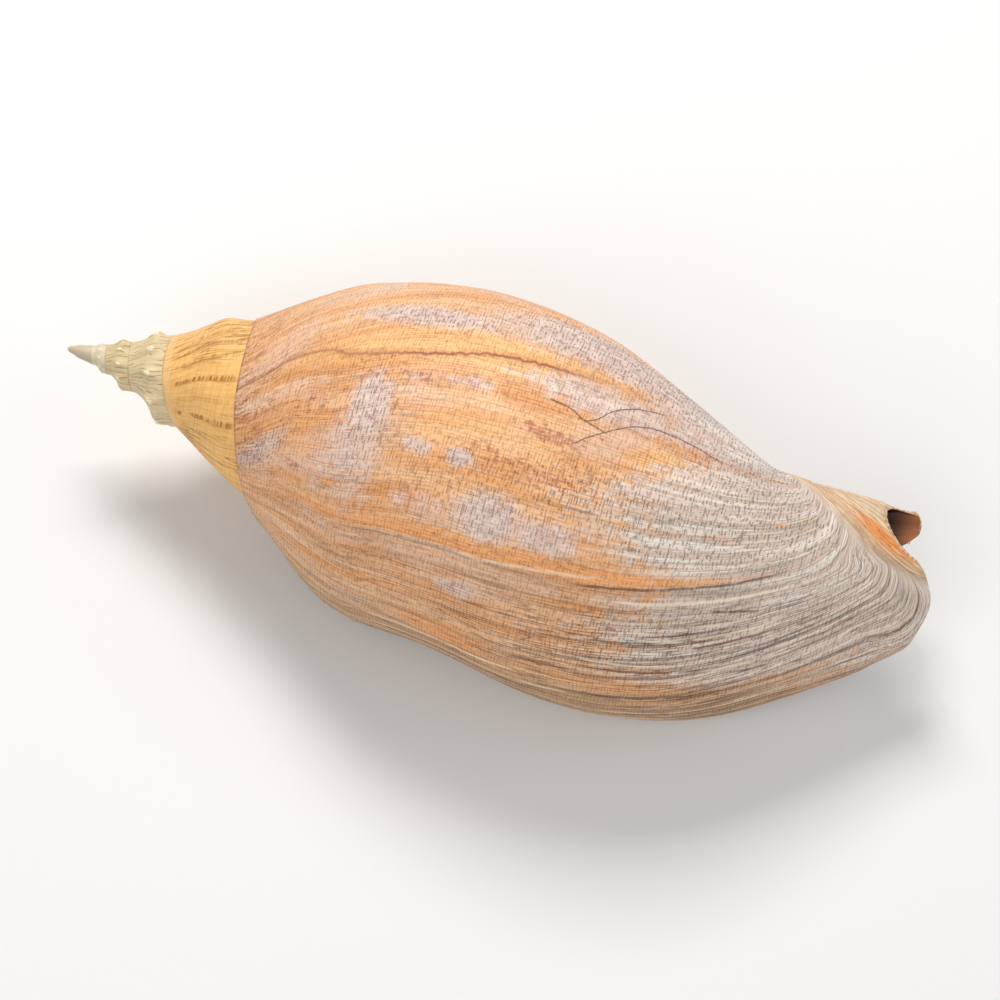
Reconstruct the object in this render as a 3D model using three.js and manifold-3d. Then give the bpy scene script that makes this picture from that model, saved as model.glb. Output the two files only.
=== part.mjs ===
// A large volute sea shell lying on its mouth: one spiral wall that grew round a twisted pillar, in one piece.
// Units are millimetres, +Z up. The shell is laid out along its coiling axis first, from the tip of the spire
// towards the open end (+X), with its back up, and is then turned into the pose in which it rests.
import * as THREE from "three";
import { ParametricGeometry } from "three/addons/geometries/ParametricGeometry.js";
import { mergeGeometries, mergeVertices } from "three/addons/utils/BufferGeometryUtils.js";
import Module from "manifold-3d";

// Growth is counted in whorls, which are turns round the axis: 0 is the finished lip, -1 is one turn earlier.
const SPIRE_WHORLS = 5;
const LENGTH_PER_WHORL = 1.73; // how much longer each whorl is than the one before it
const WIDTH_PER_WHORL = 0.7; // the same for its width, as a power of e
const LATE_SLOWING = 0.11; // the last whorl widens less than that
const OLD_WHORLS_WIDER = 0.035; // and the oldest whorls are wider than that
const LIP_ANGLE = 205; // degrees round the axis at which the lip leaves the suture; 90 is the back of the shell

// Outline of the last whorl at the lip: distance along the axis and radius.
const WHORL_OUTLINE = [
  [60, 20], [88, 38], [100, 44.5], [112, 52], [124, 60], [136, 67.5], [148, 74.5], [160, 80], [175, 84.5],
  [190, 88.5], [205, 91.2], [228, 93.7], [252, 93.1], [275, 90.3], [300, 84.5], [322, 76], [345, 64.5],
  [369, 50.5], [392, 35.5], [416, 28.5], [440, 22.5], [463, 15.5], [486, 10], [510, 6],
];
// How far the lip stands out beyond that outline, along the same distances.
const LIP_FLARE = [
  [80, 0], [105, 6.5], [129, 10.5], [147, 6.5], [165, 0], [192, -5.2], [220, -3.5], [254, -0.8], [300, 2.5],
  [350, 5], [390, 5],
];
const FLARE_WHORLS = 0.25; // the flare grows over this much of the last whorl

// The suture is the line where a whorl's edge meets the whorl before it.
const SUTURE_AT_LIP = 92.5;
const SUTURE_PER_WHORL = 1.7;
const SUTURE_STEP = 0.7; // the edge stands this far over the whorl that it covers
const SUTURE_BLEND = 12;
// How far the suture wanders from an even spiral, as a share of its place, by growth.
const SUTURE_WANDER = [
  [-1.8, 0], [-1.57, 0], [-1.32, -0.05], [-1.07, 0.03], [-0.8, 0.035], [-0.5, 0.036], [-0.13, 0.015], [0, 0],
];

// The spire's whorls have a shoulder with knobs; sizes are shares of the whorl's radius.
const KNOBS = 10; // round one whorl
const KNOB_AT = 0.6; // between the two sutures
const KNOB_SPREAD = 0.24;
const KNOB_HEIGHT = 0.08;
const SHOULDER_HEIGHT = 0.12;
const SUTURE_SINK = 0.35; // how far the wall sinks at the sutures, as a share of the shoulder
const SPIRE_TIP = -2;

// The pillar in the middle flattens into a spout at the open end, and bends away from the axis there.
const PILLAR_RADIUS = 11.5;
const PILLAR_BLEND = 5;
const SPOUT_START = 285;
const SPOUT_END = 363;
const SPOUT_HALF_WIDTH = 8;
const SPOUT_HALF_THICKNESS = 3;
const SPOUT_TROUGH = 0.7; // how deep its inner side is hollowed, as a share of its thickness there
const BEND_START = 240;
const BEND_END = 364;
const BEND = { y: 18.8, z: -7.6 };
const FOLDS_AT = [232, 252, 273, 295]; // spiral folds on the pillar, where they come out at the mouth
const FOLD_HEIGHT = 2.2;
const FOLD_WIDTH = 3;

// The edge of the open end, by growth: how far along the axis each part of the last whorl reaches.
const OPEN_END = [
  [-1, 363], [-0.6, 361], [-0.54, 357], [-0.48, 350.5], [-0.4, 348.5], [-0.35, 350], [-0.3, 357.5], [-0.25, 363.5],
  [-0.2, 368], [-0.15, 373], [-0.1, 376.5], [-0.05, 377.5], [0, 374],
];
// How far each part of the lip stands back from its end at the suture, in degrees, along the lip.
const LIP_LINE = [[80, 0], [97, -3], [125, -9], [160, -12], [250, -12], [320, -11], [364, -14], [400, -26]];
const LIP_LINE_WHORLS = 0.3; // earlier growth is laid out straight along the axis

const WALL = 3.3;
const WALL_GROWTH = 0.35; // the wall gets thicker from whorl to whorl
const LIP_WALL = 2;
const WALL_THINS_OVER = 0.15; // whorls before the lip over which the wall thins
const GLAZE = 0.3; // thickness of the glaze on the inner side of the hollow
const PAST_END = 6; // how far the hollow is cut out past the open end

// Facets
const COLUMNS = 42; // round one whorl
const SPIRE_ROWS = 5; // from suture to suture
const BODY_ROWS = 24; // from there to the open end
const TIP_ROWS = 3;
const HOLLOW_ROWS = 15;
const HOLLOW_COLUMNS = 78; // from past the lip back into the spire; what lies deeper is solid
const COLUMNS_PAST_LIP = 4;

// The turns that bring the laid out shell to rest on its lip and belly, in degrees.
const REST_ROLL = 23;
const REST_PITCH = 0.8;

const { clamp, degToRad, lerp } = THREE.MathUtils;

// A smooth curve through [place, value] pairs, read at a place; beyond its ends it goes on straight.
function curve(points, place) {
  const last = points.length - 1;
  const slope = (i) => {
    const before = points[Math.max(i - 1, 0)];
    const after = points[Math.min(i + 1, last)];
    return (after[1] - before[1]) / (after[0] - before[0]);
  };
  if (place <= points[0][0]) return points[0][1] + slope(0) * (place - points[0][0]);
  if (place >= points[last][0]) return points[last][1] + slope(last) * (place - points[last][0]);
  const i = points.findIndex((point) => point[0] > place) - 1;
  const span = points[i + 1][0] - points[i][0];
  const share = (place - points[i][0]) / span;
  const fromNear = points[i][1] * (1 + 2 * share) + slope(i) * span * share;
  const fromFar = points[i + 1][1] * (3 - 2 * share) - slope(i + 1) * span * (1 - share);
  return fromNear * (1 - share) ** 2 + fromFar * share ** 2;
}

// From 0 to 1, eased, as the value goes from one place to another in either direction.
function smoothStep(from, to, value) {
  const share = clamp((value - from) / (to - from), 0, 1);
  return share * share * (3 - 2 * share);
}

// The larger of two values, rounded over where they cross.
function smoothLarger(a, b, rounding) {
  const share = clamp(0.5 + (a - b) / (2 * rounding), 0, 1);
  return b + (a - b) * share + rounding * share * (1 - share);
}

const lengthScale = (whorl) => LENGTH_PER_WHORL ** whorl;

function widthScale(whorl) {
  const slowing = LATE_SLOWING * (1 - Math.exp(2.5 * whorl));
  return Math.exp(WIDTH_PER_WHORL * whorl + slowing + OLD_WHORLS_WIDER * Math.min(whorl + 1.2, 0) ** 2);
}

// Where the suture lies along the axis.
function suture(whorl) {
  const wander = curve(SUTURE_WANDER, clamp(whorl, SUTURE_WANDER[0][0], 0));
  return SUTURE_AT_LIP * SUTURE_PER_WHORL ** whorl * (1 + wander);
}

function outlineRadius(whorl, along) {
  return widthScale(whorl) * Math.max(curve(WHORL_OUTLINE, along / lengthScale(whorl)), 0);
}

function sutureRadius(whorl) {
  if (whorl < -SPIRE_WHORLS) return 0.5 * outlineRadius(whorl, suture(whorl));
  return wallRadius(whorl - 1, suture(whorl)) + SUTURE_STEP * Math.min(widthScale(whorl) * 2, 1);
}

// The shoulder and knobs of the older whorls, as a share of the radius.
function ornament(whorl, along) {
  const age = smoothStep(-1.1, -1.9, whorl);
  const start = suture(whorl);
  const across = (along - start) / (suture(whorl + 1) - start);
  const ridge = Math.exp(-(((across - KNOB_AT) / KNOB_SPREAD) ** 2));
  const knob = (0.5 + 0.5 * Math.cos(2 * Math.PI * KNOBS * whorl)) ** 1.5;
  const grown = smoothStep(-SPIRE_WHORLS + 0.3, -SPIRE_WHORLS + 1.5, whorl);
  return age * (SHOULDER_HEIGHT * (ridge - SUTURE_SINK) + KNOB_HEIGHT * ridge * knob * grown);
}

// Outer radius of one whorl's wall.
function wallRadius(whorl, along) {
  const start = suture(whorl);
  const miss = sutureRadius(whorl) - outlineRadius(whorl, start);
  const fade = Math.exp(-Math.max(along - start, 0) / (SUTURE_BLEND * lengthScale(whorl)));
  const flare = smoothStep(-FLARE_WHORLS, 0, whorl) * curve(LIP_FLARE, along / lengthScale(whorl));
  return (outlineRadius(whorl, along) + miss * fade) * (1 + ornament(whorl, along)) + flare;
}

// The angle round the axis, in radians, of a part of the shell that grew at one time.
function angleAt(whorl, along) {
  const share = clamp(1 + whorl / LIP_LINE_WHORLS, 0, 1) ** 2;
  const [start, end] = [LIP_LINE[0][0], LIP_LINE[LIP_LINE.length - 1][0]];
  const line = curve(LIP_LINE, clamp(along / lengthScale(whorl), start, end));
  return degToRad(LIP_ANGLE + 360 * whorl + share * line);
}

// The pillar's radius: round inside the shell, and a thin trough at the open end.
function pillarRadius(angle, along) {
  const round = PILLAR_RADIUS * smoothStep(0, SUTURE_AT_LIP, along);
  const plate = 1 / Math.hypot(Math.cos(angle) / SPOUT_HALF_WIDTH, Math.sin(angle) / SPOUT_HALF_THICKNESS);
  const trough = plate * (1 - SPOUT_TROUGH * Math.max(Math.sin(angle), 0) ** 2);
  return lerp(round, trough, smoothStep(SPOUT_START, SPOUT_END, along));
}

function foldHeight(whorl, along) {
  const fade = smoothStep(-0.68, -0.8, whorl);
  const at = along / lengthScale(whorl + 1);
  const heights = FOLDS_AT.map((fold) => FOLD_HEIGHT * Math.exp(-(((at - fold) / FOLD_WIDTH) ** 2)));
  return fade * heights.reduce((sum, height) => sum + height, 0);
}

// Outside of the shell as it stood at one time of its growth, pillar and folds included.
function outerRadius(whorl, along) {
  const pillar = pillarRadius(angleAt(whorl, along), along) + foldHeight(whorl, along);
  return smoothLarger(wallRadius(whorl, along), pillar, PILLAR_BLEND);
}

// A point at an angle, a distance along the axis and a radius from the bent middle of the shell.
function place(target, angle, along, radius) {
  const bend = Math.max(0, (along - BEND_START) / (BEND_END - BEND_START)) ** 2;
  return target.set(along, BEND.y * bend + radius * Math.cos(angle), BEND.z * bend + radius * Math.sin(angle));
}

// One sheet of facets, from a function of two counts: columns across and rows down.
function sheet(columns, rows, point) {
  const shape = (u, v, target) => point(target, Math.round(u * columns), Math.round(v * rows));
  return new ParametricGeometry(shape, columns, rows);
}

// Sheets sewn into one closed solid.
function solidOf(wasm, sheets) {
  const bare = sheets.map((part) => part.deleteAttribute("normal").deleteAttribute("uv"));
  const sewn = mergeVertices(mergeGeometries(bare), 1e-3);
  const corners = Array.from(sewn.index.array);
  const kept = [];
  for (let i = 0; i < corners.length; i += 3) {
    const [a, b, c] = corners.slice(i, i + 3);
    if (a !== b && b !== c && a !== c) kept.push(a, b, c);
  }
  const vertProperties = sewn.attributes.position.array;
  return new wasm.Manifold(new wasm.Mesh({ numProp: 3, vertProperties, triVerts: new Uint32Array(kept) }));
}

// A point of the outside: rows 0 to SPIRE_ROWS lie between two sutures, the rest run on to the open end.
function outside(target, whorl, row) {
  if (row === 0) {
    const start = suture(whorl);
    return place(target, angleAt(whorl - 1, start), start, outerRadius(whorl - 1, start));
  }
  const next = suture(whorl + 1);
  const along =
    row <= SPIRE_ROWS
      ? lerp(suture(whorl), next, row / SPIRE_ROWS)
      : lerp(next, curve(OPEN_END, whorl), (row - SPIRE_ROWS) / BODY_ROWS);
  return place(target, angleAt(whorl, along), along, outerRadius(whorl, along));
}

// The rounded tip of the spire, which closes the first whorl.
function tip(target, whorl, row, step) {
  const turn = (Math.PI / 2) * (step / TIP_ROWS);
  outside(target, whorl, row);
  const along = SPIRE_TIP + (target.x - SPIRE_TIP) * (1 - Math.cos(turn));
  return place(target, angleAt(whorl, target.x), along, Math.hypot(target.y, target.z) * Math.sin(turn));
}

// The open end, from its edge over the end of the pillar to the middle.
function openEnd(target, whorl, row) {
  if (row === 0) return outside(target, whorl, SPIRE_ROWS + BODY_ROWS);
  const angle = angleAt(whorl, SPOUT_END);
  return place(target, angle, SPOUT_END, row === 1 ? pillarRadius(angle, SPOUT_END) : 0);
}

function solidShell(wasm) {
  const first = -SPIRE_WHORLS;
  const coiled = sheet(SPIRE_WHORLS * COLUMNS, SPIRE_ROWS, (t, column, row) => {
    return outside(t, first + column / COLUMNS, row);
  });
  const lastWhorl = sheet(COLUMNS, BODY_ROWS, (t, column, row) => {
    return outside(t, column / COLUMNS - 1, row + SPIRE_ROWS);
  });
  const tipCap = sheet(COLUMNS, TIP_ROWS, (t, column, row) => tip(t, first + column / COLUMNS, 0, row));
  const tipSeam = sheet(TIP_ROWS, SPIRE_ROWS, (t, column, row) => tip(t, first, row, column));
  const mouth = sheet(1, SPIRE_ROWS + BODY_ROWS, (t, column, row) => {
    return column ? outside(t, -1, Math.max(row, SPIRE_ROWS)) : outside(t, 0, row);
  });
  const end = sheet(COLUMNS, 2, (t, column, row) => openEnd(t, column / COLUMNS - 1, row));
  const endSeam = sheet(1, 2, (t, column, row) => openEnd(t, column ? -1 : 0, row));
  return solidOf(wasm, [coiled, lastWhorl, tipCap, tipSeam, mouth, end, endSeam]);
}

function wallThickness(whorl) {
  const grown = WALL * Math.exp(WALL_GROWTH * Math.min(whorl, 0));
  return lerp(grown, LIP_WALL, smoothStep(-WALL_THINS_OVER, 0, whorl));
}

// The growth at which the whorl inside passed the same angle, one turn earlier.
function whorlInside(whorl, along) {
  return (angleAt(whorl, along) - degToRad(LIP_ANGLE)) / (2 * Math.PI) - 1;
}

const hollowOuter = (whorl, along) => wallRadius(whorl, along) - wallThickness(whorl);
const hollowInner = (whorl, along) => outerRadius(whorlInside(whorl, along), along) + GLAZE;
const room = (whorl, along) => hollowOuter(whorl, along) - hollowInner(whorl, along);

// The place between two, one with room in the hollow and one without, where the room ends.
function edgeOfRoom(whorl, roomy, closed) {
  let [open, shut] = [roomy, closed];
  for (let i = 0; i < 40; i += 1) {
    const middle = (open + shut) / 2;
    if (room(whorl, middle) > 0) open = middle;
    else shut = middle;
  }
  return open;
}

// Where the hollow starts and ends along the axis, at one time of growth.
function hollowRange(whorl) {
  const start = suture(whorl);
  const widest = start + 0.35 * (suture(whorl + 1) - start) + 20 * lengthScale(whorl);
  const far = SPOUT_END + PAST_END;
  const step = 4;
  let closes = widest;
  while (closes < far && room(whorl, closes + step) > 0) closes += step;
  closes = closes < far ? edgeOfRoom(whorl, closes, closes + step) : far;
  const edge = curve(OPEN_END, Math.min(whorl, 0)) + PAST_END;
  return { start: edgeOfRoom(whorl, widest, start), outerEnd: Math.min(closes, edge), innerEnd: closes };
}

// The hollow: loops of points that run out along the wall and back along the whorl inside.
function hollow(wasm) {
  const growth = (column) => (COLUMNS_PAST_LIP - HOLLOW_COLUMNS + column) / COLUMNS;
  const ranges = Array.from({ length: HOLLOW_COLUMNS + 1 }, (_, column) => hollowRange(growth(column)));
  const point = (target, column, row, inner) => {
    const whorl = growth(column);
    const { start, outerEnd, innerEnd } = ranges[column];
    const along = lerp(start, inner ? innerEnd : outerEnd, (row / HOLLOW_ROWS) ** 1.4);
    const onInner = inner && row > 0;
    const radius = onInner ? hollowInner(whorl, along) : hollowOuter(whorl, along);
    return place(target, angleAt(whorl, along), along, radius);
  };
  const wall = sheet(HOLLOW_COLUMNS, HOLLOW_ROWS, (t, column, row) => point(t, column, row, false));
  const whorl = sheet(HOLLOW_COLUMNS, HOLLOW_ROWS, (t, column, row) => {
    return point(t, HOLLOW_COLUMNS - column, row, true);
  });
  const openSide = sheet(HOLLOW_COLUMNS, 1, (t, column, row) => point(t, column, HOLLOW_ROWS, row === 1));
  const deepEnd = sheet(1, HOLLOW_ROWS, (t, column, row) => point(t, 0, row, column === 0));
  const mouthEnd = sheet(1, HOLLOW_ROWS, (t, column, row) => point(t, HOLLOW_COLUMNS, row, column === 1));
  return solidOf(wasm, [wall, whorl, openSide, deepEnd, mouthEnd]);
}

function geometryOf(solid) {
  const mesh = solid.getMesh();
  const geometry = new THREE.BufferGeometry();
  geometry.setAttribute("position", new THREE.BufferAttribute(mesh.vertProperties, 3));
  geometry.setIndex(new THREE.BufferAttribute(mesh.triVerts, 1));
  geometry.computeVertexNormals();
  return geometry;
}

// The shell, turned to rest with the middle of its box over the origin and its lowest point at Z = 0.
function makeShell(wasm) {
  const material = new THREE.MeshStandardMaterial({ color: 0xd6a16c, roughness: 0.6, metalness: 0 });
  const shell = new THREE.Mesh(geometryOf(solidShell(wasm).subtract(hollow(wasm))), material);
  shell.name = "shell";
  shell.rotation.set(degToRad(REST_ROLL), degToRad(REST_PITCH), 0, "YXZ");
  const box = new THREE.Box3().setFromObject(shell, true);
  const middle = box.getCenter(new THREE.Vector3());
  shell.position.set(-middle.x, -middle.y, -box.min.z);
  return shell;
}

const wasm = await Module();
wasm.setup();

const object = new THREE.Group();
object.add(makeShell(wasm));

export default object;
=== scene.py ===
"""A large volute sea shell at rest on its mouth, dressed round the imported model.

Lengths are millimetres along the coiling axis until a mesh is placed, and metres after that. Growth is
counted in whorls, which are turns round the axis: 0 is the finished lip, -1 is one turn earlier. A growth
line is the wall's edge as it stood at one time, named by the growth at the middle of the whorl. Reach is the
distance along the axis, scaled as if the whorl were the last one. A Span says where something starts and
where it is complete.
"""

from __future__ import annotations

import logging
import math
from collections.abc import Callable, Sequence
from dataclasses import dataclass
from enum import Enum
from functools import reduce

import bmesh
import bpy
import numpy as np
from mathutils import Matrix, Vector

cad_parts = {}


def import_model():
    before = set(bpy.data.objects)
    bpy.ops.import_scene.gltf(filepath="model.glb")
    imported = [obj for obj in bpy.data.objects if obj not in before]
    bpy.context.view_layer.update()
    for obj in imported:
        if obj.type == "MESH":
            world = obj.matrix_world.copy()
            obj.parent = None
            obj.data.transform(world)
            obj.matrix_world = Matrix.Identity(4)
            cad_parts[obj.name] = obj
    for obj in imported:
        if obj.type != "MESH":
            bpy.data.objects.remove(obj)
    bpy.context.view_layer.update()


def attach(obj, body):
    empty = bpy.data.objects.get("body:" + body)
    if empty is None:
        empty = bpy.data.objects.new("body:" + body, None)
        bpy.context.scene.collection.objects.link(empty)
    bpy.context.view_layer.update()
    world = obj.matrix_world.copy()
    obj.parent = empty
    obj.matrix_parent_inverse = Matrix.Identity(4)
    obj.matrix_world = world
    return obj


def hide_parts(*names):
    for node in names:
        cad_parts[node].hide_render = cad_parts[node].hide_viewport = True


MM = 0.001
TURN_LENGTH = 560.0  # one turn round the widest part
LOG = logging.getLogger("shell")

Span = tuple[float, float]
Pairs = Sequence[tuple[float, float]]
Array = np.ndarray


def curve(points: Pairs, place: Array | float) -> Array:
    """Reads a smooth curve through pairs; beyond its ends it goes on straight.

    Args:
        points: pairs of place and value, in order of place.
        place: where to read it.

    Returns:
        The value at each place.
    """
    x, y = np.array(points, float).T
    count = len(x)
    before = np.maximum(np.arange(count) - 1, 0)
    after = np.minimum(np.arange(count) + 1, count - 1)
    slope = (y[after] - y[before]) / (x[after] - x[before])
    place = np.asarray(place, float)
    i = np.clip(np.searchsorted(x, place, side="right") - 1, 0, count - 2)
    span = x[i + 1] - x[i]
    share = (place - x[i]) / span
    near = y[i] * (1 + 2 * share) + slope[i] * span * share
    far = y[i + 1] * (3 - 2 * share) - slope[i + 1] * span * (1 - share)
    middle = near * (1 - share) ** 2 + far * share**2
    first = y[0] + slope[0] * (place - x[0])
    last = y[-1] + slope[-1] * (place - x[-1])
    return np.where(place <= x[0], first, np.where(place >= x[-1], last, middle))


def held_curve(points: Pairs, place: Array | float) -> Array:
    """Reads the same curve, but holds its end values beyond its ends."""
    return curve(points, np.clip(place, points[0][0], points[-1][0]))


def smooth_step(start: float, end: float, value: Array | float) -> Array:
    """Goes from 0 to 1, eased, as the value goes from one place to another in either direction."""
    share = np.clip((value - start) / (end - start), 0, 1)
    return share * share * (3 - 2 * share)


def smooth_larger(a: Array, b: Array, rounding: float) -> Array:
    """Gives the larger of two values, rounded over where they cross."""
    share = np.clip(0.5 + (a - b) / (2 * rounding), 0, 1)
    return b + (a - b) * share + rounding * share * (1 - share)


def soft_noise(u: Array, v: Array, seed: int) -> Array:
    """Gives smooth noise from -1 to 1 with a period of about one unit of u and of v.

    Args:
        u: first coordinate.
        v: second coordinate.
        seed: picks the pattern.

    Returns:
        The noise at each point.
    """
    table = np.random.RandomState(seed).uniform(-1, 1, (256, 256))
    u, v = np.broadcast_arrays(np.asarray(u, float), np.asarray(v, float))
    i, j = np.floor(u).astype(int), np.floor(v).astype(int)
    a, b = u - i, v - j
    a, b = a * a * (3 - 2 * a), b * b * (3 - 2 * b)
    low = table[i % 256, j % 256] * (1 - a) + table[(i + 1) % 256, j % 256] * a
    high = table[i % 256, (j + 1) % 256] * (1 - a) + table[(i + 1) % 256, (j + 1) % 256] * a
    return low * (1 - b) + high * b


# Outline of the last whorl at the lip: reach and radius.
WHORL_OUTLINE = (
    (60, 20), (88, 38), (100, 44.5), (112, 52), (124, 60), (136, 67.5), (148, 74.5), (160, 80), (175, 84.5),
    (190, 88.5), (205, 91.2), (228, 93.7), (252, 93.1), (275, 90.3), (300, 84.5), (322, 76), (345, 64.5),
    (369, 50.5), (392, 35.5), (416, 28.5), (440, 22.5), (463, 15.5), (486, 10), (510, 6),
)
# How far the lip stands out beyond that outline, by reach.
LIP_FLARE = (
    (80, 0), (105, 6.5), (129, 10.5), (147, 6.5), (165, 0), (192, -5.2), (220, -3.5), (254, -0.8), (300, 2.5),
    (350, 5), (390, 5),
)
# How far the suture wanders from an even spiral, as a share of its place, by growth.
SUTURE_WANDER = (
    (-1.8, 0), (-1.57, 0), (-1.32, -0.05), (-1.07, 0.03), (-0.8, 0.045), (-0.55, 0.064), (-0.42, 0.04),
    (-0.3, 0.016), (-0.2, 0.03), (-0.1, 0.056), (0, 0.05),
)
# The edge of the open end, by growth: how far along the axis each part of the last whorl reaches.
OPEN_END = (
    (-1, 363), (-0.6, 361), (-0.48, 350.5), (-0.4, 348), (-0.35, 349.5), (-0.28, 357), (-0.245, 362.5),
    (-0.21, 368.5), (-0.155, 374), (-0.08, 377.5), (0, 374.5),
)
# How far each part of the lip stands back from its end at the suture, in degrees, by reach.
LIP_LINE = ((80, 0), (97, -3), (125, -9), (160, -12), (250, -12), (320, -11), (364, -14), (400, -26))


@dataclass(frozen=True)
class ShellForm:
    """The coiled form, laid out along its axis, with the sizes that the solid has too."""

    spire_whorls: int = 5
    length_per_whorl: float = 1.73
    width_per_whorl: float = 0.7
    late_slowing: float = 0.11
    slowing_rate: float = 2.5
    old_whorls_wider: float = 0.035
    old_whorls_from: float = -1.2
    lip_angle: float = 205
    flare_whorls: float = 0.25
    suture_at_lip: float = 92.5
    suture_per_whorl: float = 1.7
    suture_step: float = 0.7
    suture_blend: float = 12
    ornament_fade: Span = (-1.1, -1.9)
    knobs: int = 10
    knob_sharpness: float = 1.5
    first_knobs: Span = (0.3, 1.5)
    knob_at: float = 0.6
    knob_spread: float = 0.24
    knob_height: float = 0.08
    shoulder_height: float = 0.12
    suture_sink: float = 0.35
    spire_tip: float = -2
    pillar_size: float = 11.5
    pillar_blend: float = 5
    spout_start: float = 285
    spout_end: float = 366.2
    spout_half_width: float = 8
    spout_half_thickness: float = 3
    spout_trough: float = 0.7
    spout_rim: float = 3
    spout_rim_angle: float = 26
    spout_rim_spread: float = 12
    spout_round_above: float = 3.8
    spout_round_below: float = 9
    spout_roundness: float = 1.8
    bend_start: float = 240
    bend_end: float = 364
    bend_y: float = 18.8
    bend_z: float = -7.6
    folds_at: tuple[float, ...] = (232, 252, 273, 295)
    fold_height: float = 2.2
    fold_width: float = 3
    fold_fade: Span = (-0.68, -0.8)
    lip_line_whorls: float = 0.3
    wall: float = 3.3
    wall_growth: float = 0.35
    lip_wall: float = 2
    wall_thins_over: float = 0.15
    glaze: float = 0.3
    past_end: float = 6
    roomy_share: float = 0.35
    roomy_past: float = 20
    search_step: float = 4
    search_rounds: int = 30
    tip_bend: float = 1.2
    tip_bulge: float = 0.09
    tip_turns: int = 2
    tip_bend_from: float = 45
    tip_bend_power: float = 1.3

    def length_scale(self, whorl: Array) -> Array:
        """Gives how long the whorl is, as a share of the last one."""
        return self.length_per_whorl ** np.asarray(whorl, float)

    def width_scale(self, whorl: Array) -> Array:
        """Gives how wide the whorl is, as a share of the last one.

        Args:
            whorl: the growth at each point, in whorls.

        Returns:
            The share, 1 at the lip.
        """
        slowing = self.late_slowing * (1 - np.exp(self.slowing_rate * whorl))
        old = self.old_whorls_wider * np.minimum(whorl - self.old_whorls_from, 0) ** 2
        return np.exp(self.width_per_whorl * whorl + slowing + old)

    def suture(self, whorl: Array) -> Array:
        """Gives where the suture lies along the axis."""
        wander = held_curve(SUTURE_WANDER, whorl)
        return self.suture_at_lip * self.suture_per_whorl**whorl * (1 + wander)

    def outline_radius(self, whorl: Array, along: Array) -> Array:
        """Gives the radius of the plain whorl."""
        return self.width_scale(whorl) * np.maximum(curve(WHORL_OUTLINE, along / self.length_scale(whorl)), 0)

    def suture_radius(self, whorl: Array) -> Array:
        """Gives the radius of the whorl's edge, which lies on the whorl before it.

        Args:
            whorl: the growth at each point, in whorls.

        Returns:
            The radius in millimetres.
        """
        start = self.suture(whorl)
        first = 0.5 * self.outline_radius(whorl, start)
        if np.all(whorl < -self.spire_whorls):
            return first
        step = self.suture_step * np.minimum(self.width_scale(whorl) * 2, 1)
        return np.where(whorl < -self.spire_whorls, first, self.wall_radius(whorl - 1, start) + step)

    def across(self, whorl: Array, along: Array) -> Array:
        """Gives the place between the two sutures, from 0 to 1."""
        start = self.suture(whorl)
        return (along - start) / (self.suture(whorl + 1) - start)

    def knob(self, whorl: Array) -> Array:
        """Gives how high a knob stands at one time of growth, from 0 to 1."""
        return (0.5 + 0.5 * np.cos(2 * np.pi * self.knobs * whorl)) ** self.knob_sharpness

    def ornament(self, whorl: Array, along: Array) -> Array:
        """Gives the shoulder and knobs of the older whorls, as a share of the radius.

        Args:
            whorl: the growth at each point, in whorls.
            along: the distance of each point along the axis.

        Returns:
            The share at each point.
        """
        age = smooth_step(*self.ornament_fade, whorl)
        ridge = np.exp(-(((self.across(whorl, along) - self.knob_at) / self.knob_spread) ** 2))
        grown = smooth_step(*self.first_knobs, whorl + self.spire_whorls)
        shoulder = self.shoulder_height * (ridge - self.suture_sink)
        return age * (shoulder + self.knob_height * ridge * self.knob(whorl) * grown)

    def wall_radius(self, whorl: Array, along: Array) -> Array:
        """Gives the outer radius of one whorl's wall.

        Args:
            whorl: the growth at each point, in whorls.
            along: the distance of each point along the axis.

        Returns:
            The radius in millimetres, without the pillar.
        """
        start = self.suture(whorl)
        miss = self.suture_radius(whorl) - self.outline_radius(whorl, start)
        fade = np.exp(-np.maximum(along - start, 0) / (self.suture_blend * self.length_scale(whorl)))
        flare = smooth_step(-self.flare_whorls, 0, whorl) * curve(LIP_FLARE, along / self.length_scale(whorl))
        plain = self.outline_radius(whorl, along) + miss * fade
        return plain * (1 + self.ornament(whorl, along)) + flare

    def lip_share(self, whorl: Array) -> Array:
        """Gives how far the growth lines have taken on the lip's own line, from 0 to 1."""
        return np.clip(1 + whorl / self.lip_line_whorls, 0, 1) ** 2

    def angle_at(self, whorl: Array, along: Array) -> Array:
        """Gives the angle round the axis, in radians, of a part of the shell that grew at one time."""
        line = held_curve(LIP_LINE, along / self.length_scale(whorl))
        return np.radians(self.lip_angle + 360 * whorl + self.lip_share(whorl) * line)

    def pillar_radius(self, angle: Array, along: Array) -> Array:
        """Gives the pillar's radius: round inside the shell, and a thin trough at the open end.

        Args:
            angle: the angle round the axis, in radians.
            along: the distance of each point along the axis.

        Returns:
            The radius in millimetres.
        """
        round_pillar = self.pillar_size * smooth_step(0, self.suture_at_lip, along)
        plate = 1 / np.hypot(np.cos(angle) / self.spout_half_width, np.sin(angle) / self.spout_half_thickness)
        rise = (np.degrees(np.arcsin(np.sin(angle))) - self.spout_rim_angle) / self.spout_rim_spread
        rim = self.spout_rim * np.exp(-(rise**2))
        trough = plate * (1 - self.spout_trough * np.maximum(np.sin(angle), 0) ** 2) + rim
        return round_pillar + (trough - round_pillar) * smooth_step(self.spout_start, self.spout_end, along)

    def spout_edge(self, angle: Array) -> Array:
        """Gives how far along the axis the pillar reaches at each angle, to its rounded end.

        Args:
            angle: the angle round the axis, in radians.

        Returns:
            The distance along the axis.
        """
        side = self.pillar_radius(angle, self.spout_end) * np.cos(angle) / self.spout_half_width
        back = np.where(side > 0, self.spout_round_above, self.spout_round_below)
        return self.spout_end - back * np.abs(side) ** self.spout_roundness

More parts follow.
